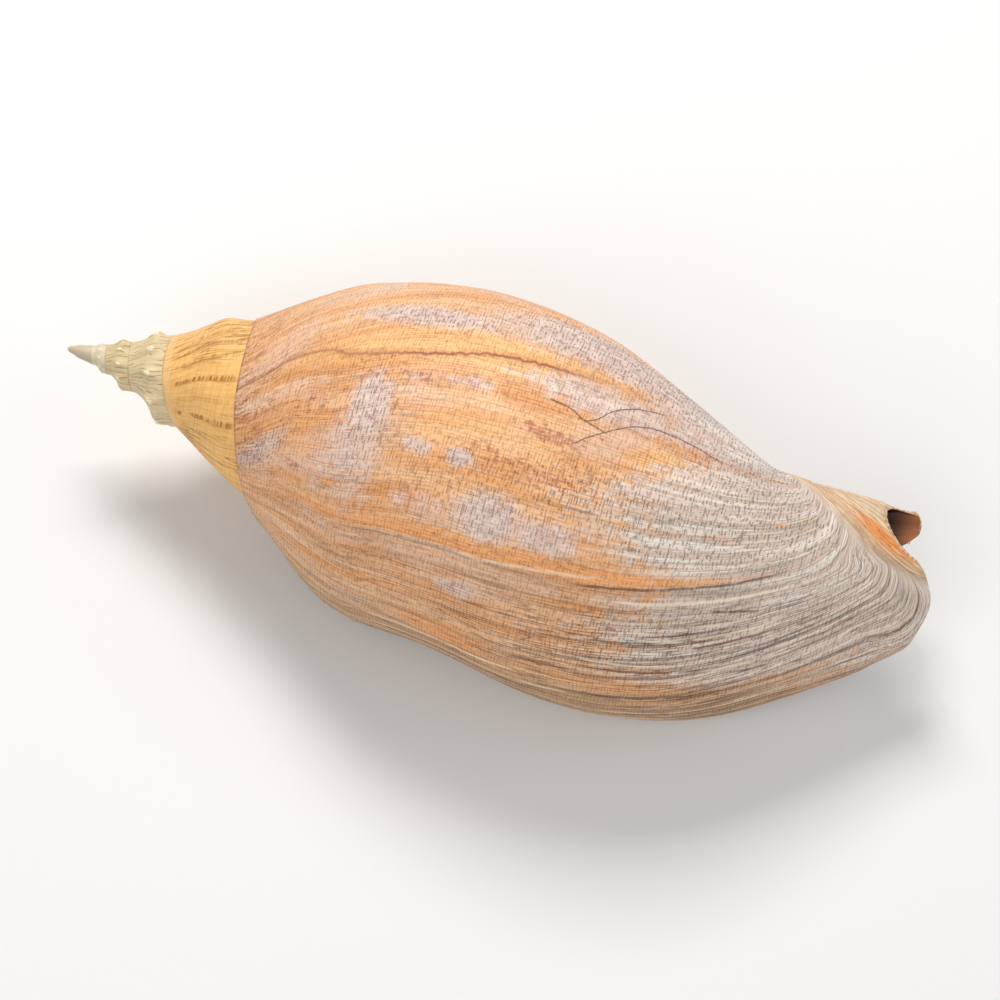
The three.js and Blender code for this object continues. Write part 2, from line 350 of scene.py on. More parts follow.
    def fold(self, whorl: Array, along: Array) -> Array:
        """Gives the height of the spiral folds on the pillar.

        Args:
            whorl: the growth at each point, in whorls.
            along: the distance of each point along the axis.

        Returns:
            The height in millimetres.
        """
        fade = smooth_step(*self.fold_fade, whorl)
        at = along / self.length_scale(whorl + 1)
        folds = (self.fold_height * np.exp(-(((at - fold) / self.fold_width) ** 2)) for fold in self.folds_at)
        return fade * sum(folds)

    def outer_radius(self, whorl: Array, along: Array) -> Array:
        """Gives the outside of the shell as it stood at one time of its growth, pillar and folds included."""
        pillar = self.pillar_radius(self.angle_at(whorl, along), along) + self.fold(whorl, along)
        return smooth_larger(self.wall_radius(whorl, along), pillar, self.pillar_blend)

    def place(self, angle: Array, along: Array, radius: Array) -> Array:
        """Gives the point at an angle, a distance along the axis and a radius from the bent middle.

        Args:
            angle: the angle round the axis, in radians.
            along: the distance of each point along the axis.
            radius: the distance from the bent middle.

        Returns:
            The points, as rows of x, y and z in millimetres.
        """
        bend = np.maximum(0, (along - self.bend_start) / (self.bend_end - self.bend_start)) ** 2
        tip = np.maximum(0, 1 - along / self.tip_bend_from) ** self.tip_bend_power
        y = self.bend_y * bend - self.tip_bend * tip + radius * np.cos(angle)
        z = self.bend_z * bend + radius * np.sin(angle)
        return np.stack(np.broadcast_arrays(along, y, z), -1)

    def wall_thickness(self, whorl: Array) -> Array:
        """Gives the thickness of the wall, which thins towards the lip.

        Args:
            whorl: the growth at each point, in whorls.

        Returns:
            The thickness in millimetres.
        """
        grown = self.wall * np.exp(self.wall_growth * np.minimum(whorl, 0))
        thin = smooth_step(-self.wall_thins_over, 0, whorl)
        return grown + (self.lip_wall - grown) * thin

    def whorl_inside(self, whorl: Array, along: Array) -> Array:
        """Gives the growth at which the whorl inside passed the same angle, one turn earlier."""
        return (self.angle_at(whorl, along) - math.radians(self.lip_angle)) / (2 * np.pi) - 1

    def hollow_outer(self, whorl: Array, along: Array) -> Array:
        """Gives the radius of the wall's inner side."""
        return self.wall_radius(whorl, along) - self.wall_thickness(whorl)

    def hollow_inner(self, whorl: Array, along: Array) -> Array:
        """Gives the radius of the whorl inside, with its glaze."""
        return self.outer_radius(self.whorl_inside(whorl, along), along) + self.glaze

    def room(self, whorl: Array, along: Array) -> Array:
        """Gives the width of the hollow."""
        return self.hollow_outer(whorl, along) - self.hollow_inner(whorl, along)

    def edge_of_room(self, whorl: Array, roomy: Array, closed: Array) -> Array:
        """Finds the place between two, one with room in the hollow and one without, where the room ends.

        Args:
            whorl: the growth at each point, in whorls.
            roomy: places along the axis where the hollow has room.
            closed: places where it has none.

        Returns:
            The places where the room ends.
        """
        for _ in range(self.search_rounds):
            middle = (roomy + closed) / 2
            has_room = self.room(whorl, middle) > 0
            roomy, closed = np.where(has_room, middle, roomy), np.where(has_room, closed, middle)
        return roomy

    def hollow_range(self, whorl: Array) -> tuple[Array, Array, Array]:
        """Finds where the hollow starts and ends along the axis, at each time of growth.

        Args:
            whorl: the times of growth, as a row of values.

        Returns:
            The start, the end of the wall's side, and the end of the inner whorl's side.
        """
        start = self.suture(whorl)
        widest = start + self.roomy_share * (self.suture(whorl + 1) - start)
        widest = widest + self.roomy_past * self.length_scale(whorl)
        far = self.spout_end + self.past_end
        step = self.search_step
        closes = widest.copy()
        going = np.ones(whorl.shape, bool)
        while going.any():
            going = going & (closes < far) & (self.room(whorl, closes + step) > 0)
            closes = np.where(going, closes + step, closes)
        closes = np.where(closes < far, self.edge_of_room(whorl, closes, closes + step), far)
        edge = curve(OPEN_END, np.minimum(whorl, 0)) + self.past_end
        return self.edge_of_room(whorl, widest, start), np.minimum(closes, edge), closes


# How far growth lines run ahead of the middle of the whorl near the suture, in turns, by reach.
LINES_AHEAD = ((92, 0.11), (105, 0.08), (125, 0.042), (155, 0.022), (180, 0.007), (205, 0))
# How far they stay behind towards the open end, where they turn back and follow the ridge round it: in older
# growth, and near the lip.
LINES_BEHIND = (
    (342, 0), (370, 0.01), (390, 0.038), (400, 0.08), (407, 0.15), (417, 0.26), (434, 0.42), (480, 0.6),
)
LOBE_LINES_BEHIND = (
    (345, 0), (388, 0.012), (400, 0.055), (408, 0.12), (417, 0.24), (434, 0.42), (480, 0.6),
)
# How far the last lines swing forward to the lobe at the end of the lip, in turns, and the growth at the
# margin that they swing along, both by reach.
LOBE_LINES_FORWARD = ((335, 0), (356, 0.035), (376, 0.062), (392, 0.038), (405, 0.028), (425, 0.02))
LOBE_MARGIN = ((374, 0), (398, -0.1), (417, -0.25))


@dataclass(frozen=True)
class Pause:
    """A pause in growth, after which the wall goes on a little lower."""

    growth: float
    drop: float
    ramp: float


@dataclass(frozen=True)
class Chip:
    """A small piece missing from the lip's edge; its depth is in turns."""

    along: float
    half_width: float
    depth: float


@dataclass(frozen=True)
class GrowthRelief:
    """The low relief that growth left on the outside: steps, ridges, swells and the lip's layers."""

    form: ShellForm
    pauses: tuple[Pause, ...] = (
        Pause(-0.402, 0.25, 0.03), Pause(-0.330, 0.15, 0.02), Pause(-0.2415, 0.55, 0.03),
        Pause(-0.196, 0.3, 0.02), Pause(-0.158, 0.3, 0.02), Pause(-0.118, 0.75, 0.025),
        Pause(-0.088, 0.5, 0.018), Pause(-0.061, 0.6, 0.016), Pause(-0.041, 0.5, 0.012),
        Pause(-0.026, 0.6, 0.01), Pause(-0.013, 0.6, 0.008),
    )
    chips: tuple[Chip, ...] = (Chip(275, 2.6, 0.0045), Chip(349, 7, 0.004), Chip(302, 4, 0.0018))
    lip_from: float = 104
    lip_lines_from: Span = (-0.275, -0.225)
    ridge_period: float = 4.6
    fine_ridge_period: float = 2.3
    stripe_period: float = 3.1
    swells_per_turn: float = 26
    body_end: Span = (402, 392)
    pause_fade: float = 9
    front: Span = (290, 350)
    covered: Span = (-0.75, -0.93)
    covered_after: float = 1.5
    clear_of_suture: float = 2.5
    young: Span = (-4.2, -2.5)
    sharp_knobs: Span = (-1.75, -2.1)
    first_sharp_knobs: Span = (-4.6, -3.6)
    ridged: Span = (-0.245, -0.2)
    strongly_ridged: Span = (-0.13, -0.07)
    straighter_lines: Span = (-0.8, -1.1)
    lip_wear: float = 0.0016
    lip_fine_wear: float = 0.0009
    swell_height: float = 0.35
    ridge_height: float = 0.42
    stripe_height: float = 0.35
    knob_tip_share: float = 0.06
    knob_tip_spread: float = 0.13
    lobe_reach: float = 0.075
    lip_rounding: float = 0.9
    lip_rounding_inside: float = 0.6

    def line(self, whorl: Array, along: Array) -> Array:
        """Gives the growth line that passes through a point, as the growth at the middle of the whorl.

        Args:
            whorl: the growth at each point, in whorls.
            along: the distance of each point along the axis.

        Returns:
            The growth line of each point.
        """
        reach = along / self.form.length_scale(whorl)
        early = 1 - self.form.lip_share(whorl)
        near_lip = smooth_step(*self.lip_lines_from, whorl)
        ahead = held_curve(LINES_AHEAD, reach) * (1 - 0.2 * smooth_step(*self.straighter_lines, whorl))
        behind = held_curve(LINES_BEHIND, reach)
        behind = behind + (held_curve(LOBE_LINES_BEHIND, reach) - behind) * near_lip
        from_margin = (whorl - held_curve(LOBE_MARGIN, reach)) / self.lobe_reach
        forward = near_lip * held_curve(LOBE_LINES_FORWARD, reach) * np.exp(-(from_margin**2))
        return whorl + behind - early * ahead - forward

    def ridges(self, line: Array, along: Array) -> Array:
        """Gives the ridges that run with the growth lines, from -1 to 1.

        Args:
            line: the growth line of each point.
            along: the distance of each point along the axis.

        Returns:
            The ridges at each point.
        """
        length = line * TURN_LENGTH
        coarse = soft_noise(length / self.ridge_period, along / 75, 3)
        fine = soft_noise(length / self.fine_ridge_period + 31, along / 45, 5)
        return 0.6 * coarse + 0.4 * fine

    def ridge_share(self, line: Array) -> Array:
        """Gives how strongly the wall is ridged at one time of growth, from the smooth middle to the lip."""
        return 0.22 + 0.9 * smooth_step(*self.ridged, line) + 0.5 * smooth_step(*self.strongly_ridged, line)

    def height(self, whorl: Array, along: Array) -> Array:
        """Gives the height of the relief over the plain wall, in millimetres.

        Args:
            whorl: the growth.
            along: the distance along the axis.

        Returns:
            The height at each point, which fades out under later whorls and on the pillar.
        """
        line = self.line(whorl, along)
        size = self.form.width_scale(whorl)
        reach = along / self.form.length_scale(whorl)
        height = self.swell_height * size * soft_noise(line * self.swells_per_turn, along / 70, 11)
        body = smooth_step(*self.body_end, reach)
        height = height + self.ridge_height * size * self.ridge_share(line) * self.ridges(line, along) * body
        stripes = soft_noise(reach / self.stripe_period, line * 9, 8) * (1 - body)
        height = height + self.stripe_height * stripes
        front = smooth_step(*self.front, reach)
        for pause in self.pauses:
            wave = (line - pause.growth) / pause.ramp
            rise = np.exp(-np.abs(wave) * np.where(wave < 0, 1, self.pause_fade))
            height = height + pause.drop * rise * (1 - 0.6 * front)
        covered = smooth_step(0, self.covered_after, along - self.form.suture(whorl + 1))
        covered = covered * smooth_step(*self.covered, whorl)
        start = smooth_step(0, self.clear_of_suture, along - self.form.suture(whorl))
        young = smooth_step(*self.young, whorl)
        return height * (1 - covered) * start * (0.3 + 0.7 * young) + self.knob_tips(whorl, along)

    def knob_tips(self, whorl: Array, along: Array) -> Array:
        """Gives the sharper tips of the knobs on the oldest whorls, in millimetres.

        Args:
            whorl: the growth at each point, in whorls.
            along: the distance of each point along the axis.

        Returns:
            The height at each point.
        """
        ridge = np.exp(-(((self.form.across(whorl, along) - self.form.knob_at) / self.knob_tip_spread) ** 2))
        older = smooth_step(*self.sharp_knobs, whorl) * smooth_step(*self.first_sharp_knobs, whorl)
        sharp = self.form.knob(whorl) ** 3
        return self.knob_tip_share * self.form.wall_radius(whorl, along) * ridge * sharp * older

    def lip_loss(self, along: Array) -> Array:
        """Gives how far the lip's edge is worn and chipped back, in turns.

        Args:
            along: the distance of each point along the axis.

        Returns:
            The loss at each place.
        """
        uneven = self.lip_wear * (1 + soft_noise(along / 9, 0.0, 21))
        uneven = uneven + self.lip_fine_wear * (1 + soft_noise(along / 2.7, 3.0, 22))
        total = uneven * smooth_step(self.lip_from, self.lip_from + 12, along)
        for chip in self.chips:
            total = total + chip.depth * smooth_step(1, 0.55, np.abs(along - chip.along) / chip.half_width)
        return total

    def edge_distance(self, whorl: Array, along: Array) -> Array:
        """Gives the distance to the lip's or the open end's edge, in millimetres.

        Args:
            whorl: the growth at each point, in whorls.
            along: the distance of each point along the axis.

        Returns:
            The distance to the nearer edge.
        """
        to_lip = np.maximum(-whorl, 0) * TURN_LENGTH
        to_end = np.maximum(curve(OPEN_END, np.clip(whorl, -1, 0)) - along, 0)
        return np.minimum(to_lip, to_end)

    def rounding(self, whorl: Array, along: Array, radius: float) -> Array:
        """Gives how far a rounded edge falls back from the plain wall."""
        inside = np.clip(1 - self.edge_distance(whorl, along) / radius, 0, 1)
        return radius * (1 - np.sqrt(1 - inside**2))


class Kind(Enum):
    """What a face belongs to; the value is its material's place on the mesh."""

    OUTSIDE = 0
    INSIDE = 1
    EDGE = 2


# A patch begins to show at the first of these distances from its middle and shows fully from the second on,
# where 1 is its half size.
PATCH_EDGE = (1.5, 0.45)


@dataclass(frozen=True)
class Patch:
    """A soft-edged patch of colour on the last whorl: its middle and half sizes."""

    along: float
    half_along: float
    growth: float
    half_growth: float
    strength: float = 1.0
    slant: float = 0.0  # turns for each millimetre along the axis

    def share(self, along: Array, growth: Array) -> Array:
        """Gives how strongly the patch shows at each point, from 0 to its strength.

        Args:
            along: the distance of each point along the axis.
            growth: the growth or the growth line of each point, in whorls.

        Returns:
            The patch's strength at each point.
        """
        a = (along - self.along) / self.half_along
        g = (growth - self.growth - self.slant * (along - self.along)) / self.half_growth
        return self.strength * smooth_step(*PATCH_EDGE, np.sqrt(a * a + g * g))


def patch_rows(*rows: tuple[float, ...]) -> tuple[Patch, ...]:
    """Makes patches from rows of their values."""
    return tuple(Patch(*row) for row in rows)


# Patches: middle and half size along the axis, the same in turns of growth, strength and slant. GOLD and
# BRIGHT_ORANGE lie along growth lines.
WORN_WHITE = patch_rows(
    (150, 30, -0.447, 0.017, 0.9), (236, 62, -0.468, 0.036, 1.0), (138, 13, -0.300, 0.07, 0.6),
    (139, 9, -0.342, 0.035, 0.95), (128, 12, -0.262, 0.03, 0.5), (162, 7, -0.316, 0.008, 0.8),
    (180, 6, -0.316, 0.008, 1.0), (197, 14, -0.277, 0.022, 0.85), (222, 12, -0.272, 0.014, 0.85),
    (168, 14, -0.272, 0.014, 0.5), (191, 9, -0.208, 0.009, 0.7), (126, 14, -0.208, 0.012, 0.35),
    (232, 36, -0.400, 0.02, 0.85), (275, 34, -0.430, 0.05, 0.85), (95, 12, -0.240, 0.024, 0.75, -0.004),
    (176, 12, -0.38, 0.007, 0.65), (152, 5, -0.376, 0.006, 0.5), (240, 46, -0.19, 0.035, 0.25),
    (115, 14, -0.345, 0.02, 0.3),
)
GOLD = patch_rows(
    (172, 88, -0.416, 0.022, 0.95), (112, 26, -0.412, 0.024, 0.6), (259, 18, -0.358, 0.015, 0.9),
    (190, 44, -0.335, 0.022, 0.55), (200, 34, -0.298, 0.014, 0.5), (262, 12, -0.42, 0.015, 0.5),
    (150, 50, -0.49, 0.016, 0.45), (215, 20, -0.36, 0.01, 0.6),
)
BRIGHT_ORANGE = patch_rows(
    (200, 92, -0.2505, 0.0075, 1.0), (308, 6, -0.267, 0.008, 0.85), (189, 24, -0.142, 0.014, 0.75),
    (262, 60, -0.135, 0.012, 0.5), (112, 22, -0.30, 0.05, 0.35), (160, 60, -0.235, 0.004, 0.45),
    (240, 26, -0.31, 0.02, 0.35),
)
# Where short dark cracks crowd, across the growth lines.
HATCHED = patch_rows(
    (272, 26, -0.300, 0.03, 1.0), (232, 30, -0.318, 0.022, 0.75), (300, 40, -0.33, 0.06, 0.6),
    (139, 12, -0.34, 0.05, 0.55), (270, 40, -0.19, 0.03, 0.7), (160, 30, -0.447, 0.02, 0.5),
    (240, 60, -0.47, 0.04, 0.6), (95, 12, -0.240, 0.024, 0.8, -0.004), (197, 40, -0.30, 0.03, 0.4),
)
STAINS = patch_rows(
    (213, 12, -0.352, 0.007, 1.0, 0.0003), (160, 7, -0.376, 0.006, 0.8), (176, 8, -0.381, 0.006, 0.7),
    (192, 20, -0.325, 0.008, 0.6), (222, 16, -0.318, 0.012, 0.6), (112, 9, -0.330, 0.02, 0.4),
    (112, 5, -0.2535, 0.006, 0.8), (250, 30, -0.335, 0.006, 0.35),
)
# Where the front of the last whorl is worn to grey: growth and distance along the axis.
GREY_FROM = (
    (-0.6, 230), (-0.45, 262), (-0.40, 284), (-0.36, 262), (-0.31, 238), (-0.27, 250), (-0.253, 292),
    (-0.245, 262), (-0.2, 252), (-0.15, 268), (-0.12, 305), (-0.08, 335), (0, 350),
)


@dataclass(frozen=True)
class Zones:
    """The parts of the outside that differ in colour, by growth and distance along the axis."""

    form: ShellForm
    relief: GrowthRelief
    grey_fade: float = 40
    knob_ridge: float = 0.16
    last_whorl: Span = (-0.72, -0.62)
    tan_lines: Span = (-0.215, -0.05)
    tan_along: Span = (368, 300)
    spotted: Span = (-1.8, -2.1)

    def largest(self, patches: Sequence[Patch], along: Array, growth: Array) -> Array:
        """Gives the strongest of several patches at each point."""
        return np.max([patch.share(along, growth) for patch in patches], axis=0)

    def masks(self, whorl: Array, along: Array) -> Array:
        """Gives the shares of white, grey, gold and tan at each point, as four columns.

        Args:
            whorl: the growth at each point, in whorls.
            along: the distance of each point along the axis.

        Returns:
            The four columns, with values from 0 to 1.
        """
        line = self.relief.line(whorl, along)
        last = smooth_step(*self.last_whorl, whorl)
        white = self.largest(WORN_WHITE, along, whorl) * last
        gold = self.largest(GOLD, along, line) * last
        grey = smooth_step(-self.grey_fade, self.grey_fade, along - held_curve(GREY_FROM, whorl)) * last
        tan = smooth_step(*self.tan_lines, line) * smooth_step(*self.tan_along, along)
        return np.stack([white, grey, gold, tan], -1)

    def second_masks(self, whorl: Array, along: Array) -> Array:
        """Gives the shares of bright orange, raised ridge, crowded cracks and knob, as four columns.

        Args:
            whorl: the growth at each point, in whorls.
            along: the distance of each point along the axis.

        Returns:
            The four columns, with values up to 1.
        """
        line = self.relief.line(whorl, along)
        orange = self.largest(BRIGHT_ORANGE, along, line)
        # The ridge height, by which the outside paints highlights on raised lines and shade in low ones.
        ridge = self.relief.ridges(line, along)
        hatched = self.largest(HATCHED, along, whorl)
        across = self.form.across(whorl, along)
        top = np.exp(-(((across - self.form.knob_at) / self.knob_ridge) ** 2))
        knob = top * self.form.knob(whorl) ** 2 * smooth_step(*self.spotted, whorl)
        return np.stack([orange, ridge, hatched, knob], -1)

    def stain(self, whorl: Array, along: Array) -> Array:
        """Gives the share of brown stain at each point."""
        return self.largest(STAINS, along, whorl)


def eased(share: Array, ease: float, reach: float) -> Array:
    """Draws shares from 0 to 1 closer together where they near 1.

    Args:
        share: the shares.
        ease: how much closer.
        reach: how near to 1 that starts.

    Returns:
        The new shares, still from 0 to 1.
    """
    left = 1 - share
    return 1 - left * (1 - ease * np.exp(-left / reach))


@dataclass
class ShellMesh:
    """The shell's mesh: a closed outside, from which the hollow is cut."""

    form: ShellForm
    relief: GrowthRelief
    zones: Zones
    columns: int = 560  # round the last whorl
    spire_rows: int = 24
    body_rows: int = 62
    tip_rows: int = 6
    hollow_per_whorl: int = 168
    hollow_deep: int = 298
    hollow_past_lip: int = 16
    hollow_rows: int = 34
    # How much closer columns and rows draw towards their last, and within what share of the whole.
    column_ease: tuple[float, float] = (0.7, 0.006)
    row_ease: tuple[float, float] = (0.75, 0.02)
    upper_spread: float = 1.6
    hollow_spread: float = 1.4
    wear_depth: float = 0.008
    sharp_angle: float = 50
    weld: float = 0.004

    def whorl_at(self, column: Array) -> Array:
        """Gives the growth of a column, where whole whorls end in closer columns.

        Args:
            column: the points' columns, counted from the lip.

        Returns:
            The growth, in whorls.
        """
        turns = column / self.columns
        whole = np.ceil(turns) - 1
        return whole + eased(turns - whole, *self.column_ease)

    def coarse_column(self, column: Array, band: Array) -> Array:
        """Moves columns of old, small whorls together in twos and fours."""
        step = np.where(band < -3, 4, np.where(band < -1, 2, 1))
        return np.round(column / step) * step

    def coarse_row(self, row: Array, whorl_column: Array) -> Array:
        """Moves rows of old, small whorls together in twos."""
        step = np.where((whorl_column < -2 * self.columns) & (row < self.spire_rows), 2, 1)
        return np.round(row / step) * step

    def along_at(self, whorl: Array, row: Array) -> Array:
        """Gives the distance along the axis of a row, from the suture past the next one to the open end.

        Args:
            whorl: the growth at each point, in whorls.
            row: the points' rows, counted from the suture.

        Returns:
            The distance along the axis.
        """
        start, following = self.form.suture(whorl), self.form.suture(whorl + 1)
        upper = start + (following - start) * np.clip(row / self.spire_rows, 0, 1) ** self.upper_spread
        share = eased(np.clip((row - self.spire_rows) / self.body_rows, 0, 1), *self.row_ease)
        lower = following + (curve(OPEN_END, np.clip(whorl, -1, 0)) - following) * share
        return np.where(row <= self.spire_rows, upper, lower)

    def wall(self, column: Array, row: Array) -> tuple[Array, Array, Array, Array]:
        """Gives the outside before it is placed.

        Args:
            column: columns, counted from the lip back to minus the number of columns in the whole spire.
            row: rows, from the suture on.

        Returns:
            The angle, the radius, the growth and the distance along the axis of each point.
        """
        band = np.ceil(column / self.columns - 1e-9) - 1
        shared = row == 0
        column = self.coarse_column(column, np.where(shared, band - 1, band))
        row = self.coarse_row(row, column)
        whorl = self.whorl_at(column)
        along = np.where(shared, self.form.suture(whorl), self.along_at(whorl, row))
        owner = np.where(shared, whorl - 1, whorl)
        rounding = self.relief.rounding(owner, along, self.relief.lip_rounding)
        worn_back = np.where(shared, 0, self.relief.lip_loss(along) * np.exp(whorl / self.wear_depth))
        owner = owner - worn_back
        radius = self.form.outer_radius(owner, along) + self.relief.height(owner, along) - rounding
        return self.form.angle_at(owner, along), radius, whorl, along

    def outside(self, column: Array, row: Array) -> tuple[Array, Array, Array]:
        """Gives points of the outside, their growth and their distance along the axis."""
        angle, radius, whorl, along = self.wall(column, row)
        return self.form.place(angle, along, radius), whorl, along

    def tip(self, column: Array, row: Array, step: Array) -> tuple[Array, Array, Array]:
        """Gives points of the rounded tip of the spire, which closes the first whorl.

        Args:
            column: the points' columns, counted from the lip.
            row: the points' rows, counted from the suture.
            step: steps from the very tip to the first whorl.

        Returns:
            The points, their growth and their distance along the axis.
        """
        angle, radius, whorl, along = self.wall(column, row)
        share = step / self.tip_rows
        place = self.form.spire_tip + (along - self.form.spire_tip) * share**2
        turns = 1 + self.form.tip_bulge * np.sin(2 * np.pi * self.form.tip_turns * share**1.5)
        return self.form.place(angle, place, radius * share * turns), whorl, along * share

    def open_end(self, column: Array, row: Array) -> tuple[Array, Array, Array]:
        """Gives points of the open end, from its edge over the end of the pillar to the middle.

        Args:
            column: the points' columns, counted from the lip.
            row: 0 at the edge, 1 at the pillar's end and 2 in the middle.

        Returns:
            The points, their growth and their distance along the axis.
        """
        points, whorl, along = self.outside(column, np.full_like(row, self.spire_rows + self.body_rows))
        angle = self.form.angle_at(whorl, np.full_like(along, self.form.spout_end))
        end = np.where(row == 1, self.form.spout_edge(angle), self.form.spout_end)
        radius = np.where(row == 1, self.form.pillar_radius(angle, end), 0)
        inner = self.form.place(angle, end, radius)
        return np.where((row == 0)[:, None], points, inner), whorl, along

    def sheet(self, columns: int, rows: int, kind: Kind, point: Callable) -> bpy.types.Mesh:
        """Makes one patch of the surface: a grid whose vertices are moved by a formula.

        Args:
            columns: how many faces across.
            rows: how many faces down.
            kind: what the faces belong to.
            point: gives points, growth and distance for arrays of columns and rows.

        Returns:
            The mesh, with its growth, place and colour zones stored at each corner.
        """
        grid = bmesh.new()
        bmesh.ops.create_grid(grid, x_segments=columns, y_segments=rows, size=1)
        mesh = bpy.data.meshes.new("patch")
        grid.to_mesh(mesh)
        grid.free()
        flat = np.empty(len(mesh.vertices) * 3, np.float32)
        mesh.vertices.foreach_get("co", flat)
        flat = flat.reshape(-1, 3)
        column = np.round((flat[:, 0] + 1) / 2 * columns)
        row = np.round((flat[:, 1] + 1) / 2 * rows)
        points, whorl, along = point(column, row)
        mesh.vertices.foreach_set("co", (points * MM).astype(np.float32).ravel())
        self.store(mesh, kind, whorl, along)
        mesh.polygons.foreach_set("material_index", np.full(len(mesh.polygons), kind.value, np.int32))
        return mesh

    def store(self, mesh: bpy.types.Mesh, kind: Kind, whorl: Array, along: Array) -> None:
        """Stores growth, place and colour zones at each corner of a mesh.

        Args:
            mesh: the mesh.
            kind: what its faces belong to; not used.
            whorl: the growth at each point, in whorls.
            along: the distance of each point along the axis.
        """
        corner = np.empty(len(mesh.loops), np.int32)
        mesh.loops.foreach_get("vertex_index", corner)
        line = self.relief.line(whorl, along)
        reach = along / self.form.length_scale(whorl)
        across = self.form.across(whorl, along)
        stain = self.zones.stain(whorl, along)
        self.put(mesh, "growth", "FLOAT_VECTOR", "vector", np.stack([line, along, whorl], -1)[corner])
        self.put(mesh, "place", "FLOAT_VECTOR", "vector", np.stack([reach, across, stain], -1)[corner])
        self.put(mesh, "zones", "FLOAT_COLOR", "color", self.zones.masks(whorl, along)[corner])
        self.put(mesh, "more_zones", "FLOAT_COLOR", "color", self.zones.second_masks(whorl, along)[corner])

    def put(self, mesh: bpy.types.Mesh, name: str, form: str, field: str, values: Array) -> None:
        """Writes one attribute, with a value for each corner."""
        attribute = mesh.attributes.new(name, form, "CORNER")
        attribute.data.foreach_set(field, values.astype(np.float32).ravel())

    def sew(self, name: str, patches: Sequence[bpy.types.Mesh]) -> bpy.types.Object:
        """Sews patches into one closed object, with its faces pointing outwards.

        Args:
            name: the object's name.
            patches: the patches, which are used up.

        Returns:
            The object.
        """
        sewn = bmesh.new()
        for patch in patches:
            sewn.from_mesh(patch)
            bpy.data.meshes.remove(patch)
        bmesh.ops.remove_doubles(sewn, verts=sewn.verts, dist=self.weld * MM)
        bmesh.ops.dissolve_degenerate(sewn, edges=sewn.edges, dist=self.weld * MM / 4)
        bmesh.ops.recalc_face_normals(sewn, faces=sewn.faces)
        loose = [edge for edge in sewn.edges if len(edge.link_faces) != 2]
        LOG.info("%s: %d faces, %d open edges", name, len(sewn.faces), len(loose))
        mesh = bpy.data.meshes.new(name)
        sewn.to_mesh(mesh)
        sewn.free()
        piece = bpy.data.objects.new(name, mesh)
        bpy.context.scene.collection.objects.link(piece)
        return piece

    def solid_shell(self) -> bpy.types.Object:
        """Makes the closed outside of the shell.

        Returns:
            The object.
        """
        whole, last = self.form.spire_whorls * self.columns, self.columns
        upper, lower, cap = self.spire_rows, self.body_rows, self.tip_rows
        wall, edge = Kind.OUTSIDE, Kind.EDGE
        patches = [
            self.sheet(whole, upper, wall, lambda c, r: self.outside(c - whole, r)),
            self.sheet(last, lower, wall, lambda c, r: self.outside(c - last, r + upper)),
            self.sheet(last, cap, wall, lambda c, r: self.tip(c - whole, 0 * r, r)),
            self.sheet(cap, upper, wall, lambda c, r: self.tip(0 * c - whole, r, c)),
            self.sheet(1, upper + lower, edge, self.mouth),
            self.sheet(last, 2, edge, lambda c, r: self.open_end(c - last, r)),
            self.sheet(1, 2, edge, lambda c, r: self.open_end(-last * c, r)),
        ]
        return self.sew("volute_shell", patches)

    def mouth(self, column: Array, row: Array) -> tuple[Array, Array, Array]:
        """Gives points of the flat face across the mouth, which the hollow cuts away.

        Args:
            column: 1 for the old side of the mouth, 0 for the lip.
            row: the points' rows, counted from the suture.

        Returns:
            The points, their growth and their distance along the axis.
        """
        old = column == 1
        row = np.where(old, np.maximum(row, self.spire_rows), row)
        return self.outside(np.where(old, -self.columns, 0), row)

    def hollow(self) -> bpy.types.Object:
        """Makes the hollow: a wall's side and an inner whorl's side, sewn together.

        Returns:
            The object.
        """
        columns = self.hollow_deep + self.hollow_past_lip
        growth = (np.arange(columns + 1) - self.hollow_deep) / self.hollow_per_whorl
        start, outer_end, inner_end = self.form.hollow_range(growth)

        def point(column: Array, row: Array, inner: Array) -> tuple[Array, Array, Array]:
            """Gives points of the wall's side or, where asked, of the inner whorl's side."""
            i = column.astype(int)
            whorl = growth[i]
            end = np.where(inner, inner_end[i], outer_end[i])
            along = start[i] + (end - start[i]) * (row / self.hollow_rows) ** self.hollow_spread
            fall = self.relief.rounding(whorl, along, self.relief.lip_rounding_inside)
            outer = self.form.hollow_outer(whorl, along) + fall
            radius = np.where(inner & (row > 0), self.form.hollow_inner(whorl, along), outer)
            return self.form.place(self.form.angle_at(whorl, along), along, radius), whorl, along

        def all_of(column: Array, value: bool) -> Array:
            """Gives one answer for every column."""
            return np.full(column.shape, value)

        rows = self.hollow_rows
        patches = [
            self.sheet(columns, rows, Kind.INSIDE, lambda c, r: point(c, r, all_of(c, False))),
            self.sheet(columns, rows, Kind.INSIDE, lambda c, r: point(columns - c, r, all_of(c, True))),
            self.sheet(columns, 1, Kind.INSIDE, lambda c, r: point(c, 0 * r + rows, r == 1)),
            self.sheet(1, rows, Kind.INSIDE, lambda c, r: point(0 * c, r, c == 0)),
            self.sheet(1, rows, Kind.INSIDE, lambda c, r: point(0 * c + columns, r, c == 1)),
        ]
        return self.sew("hollow", patches)

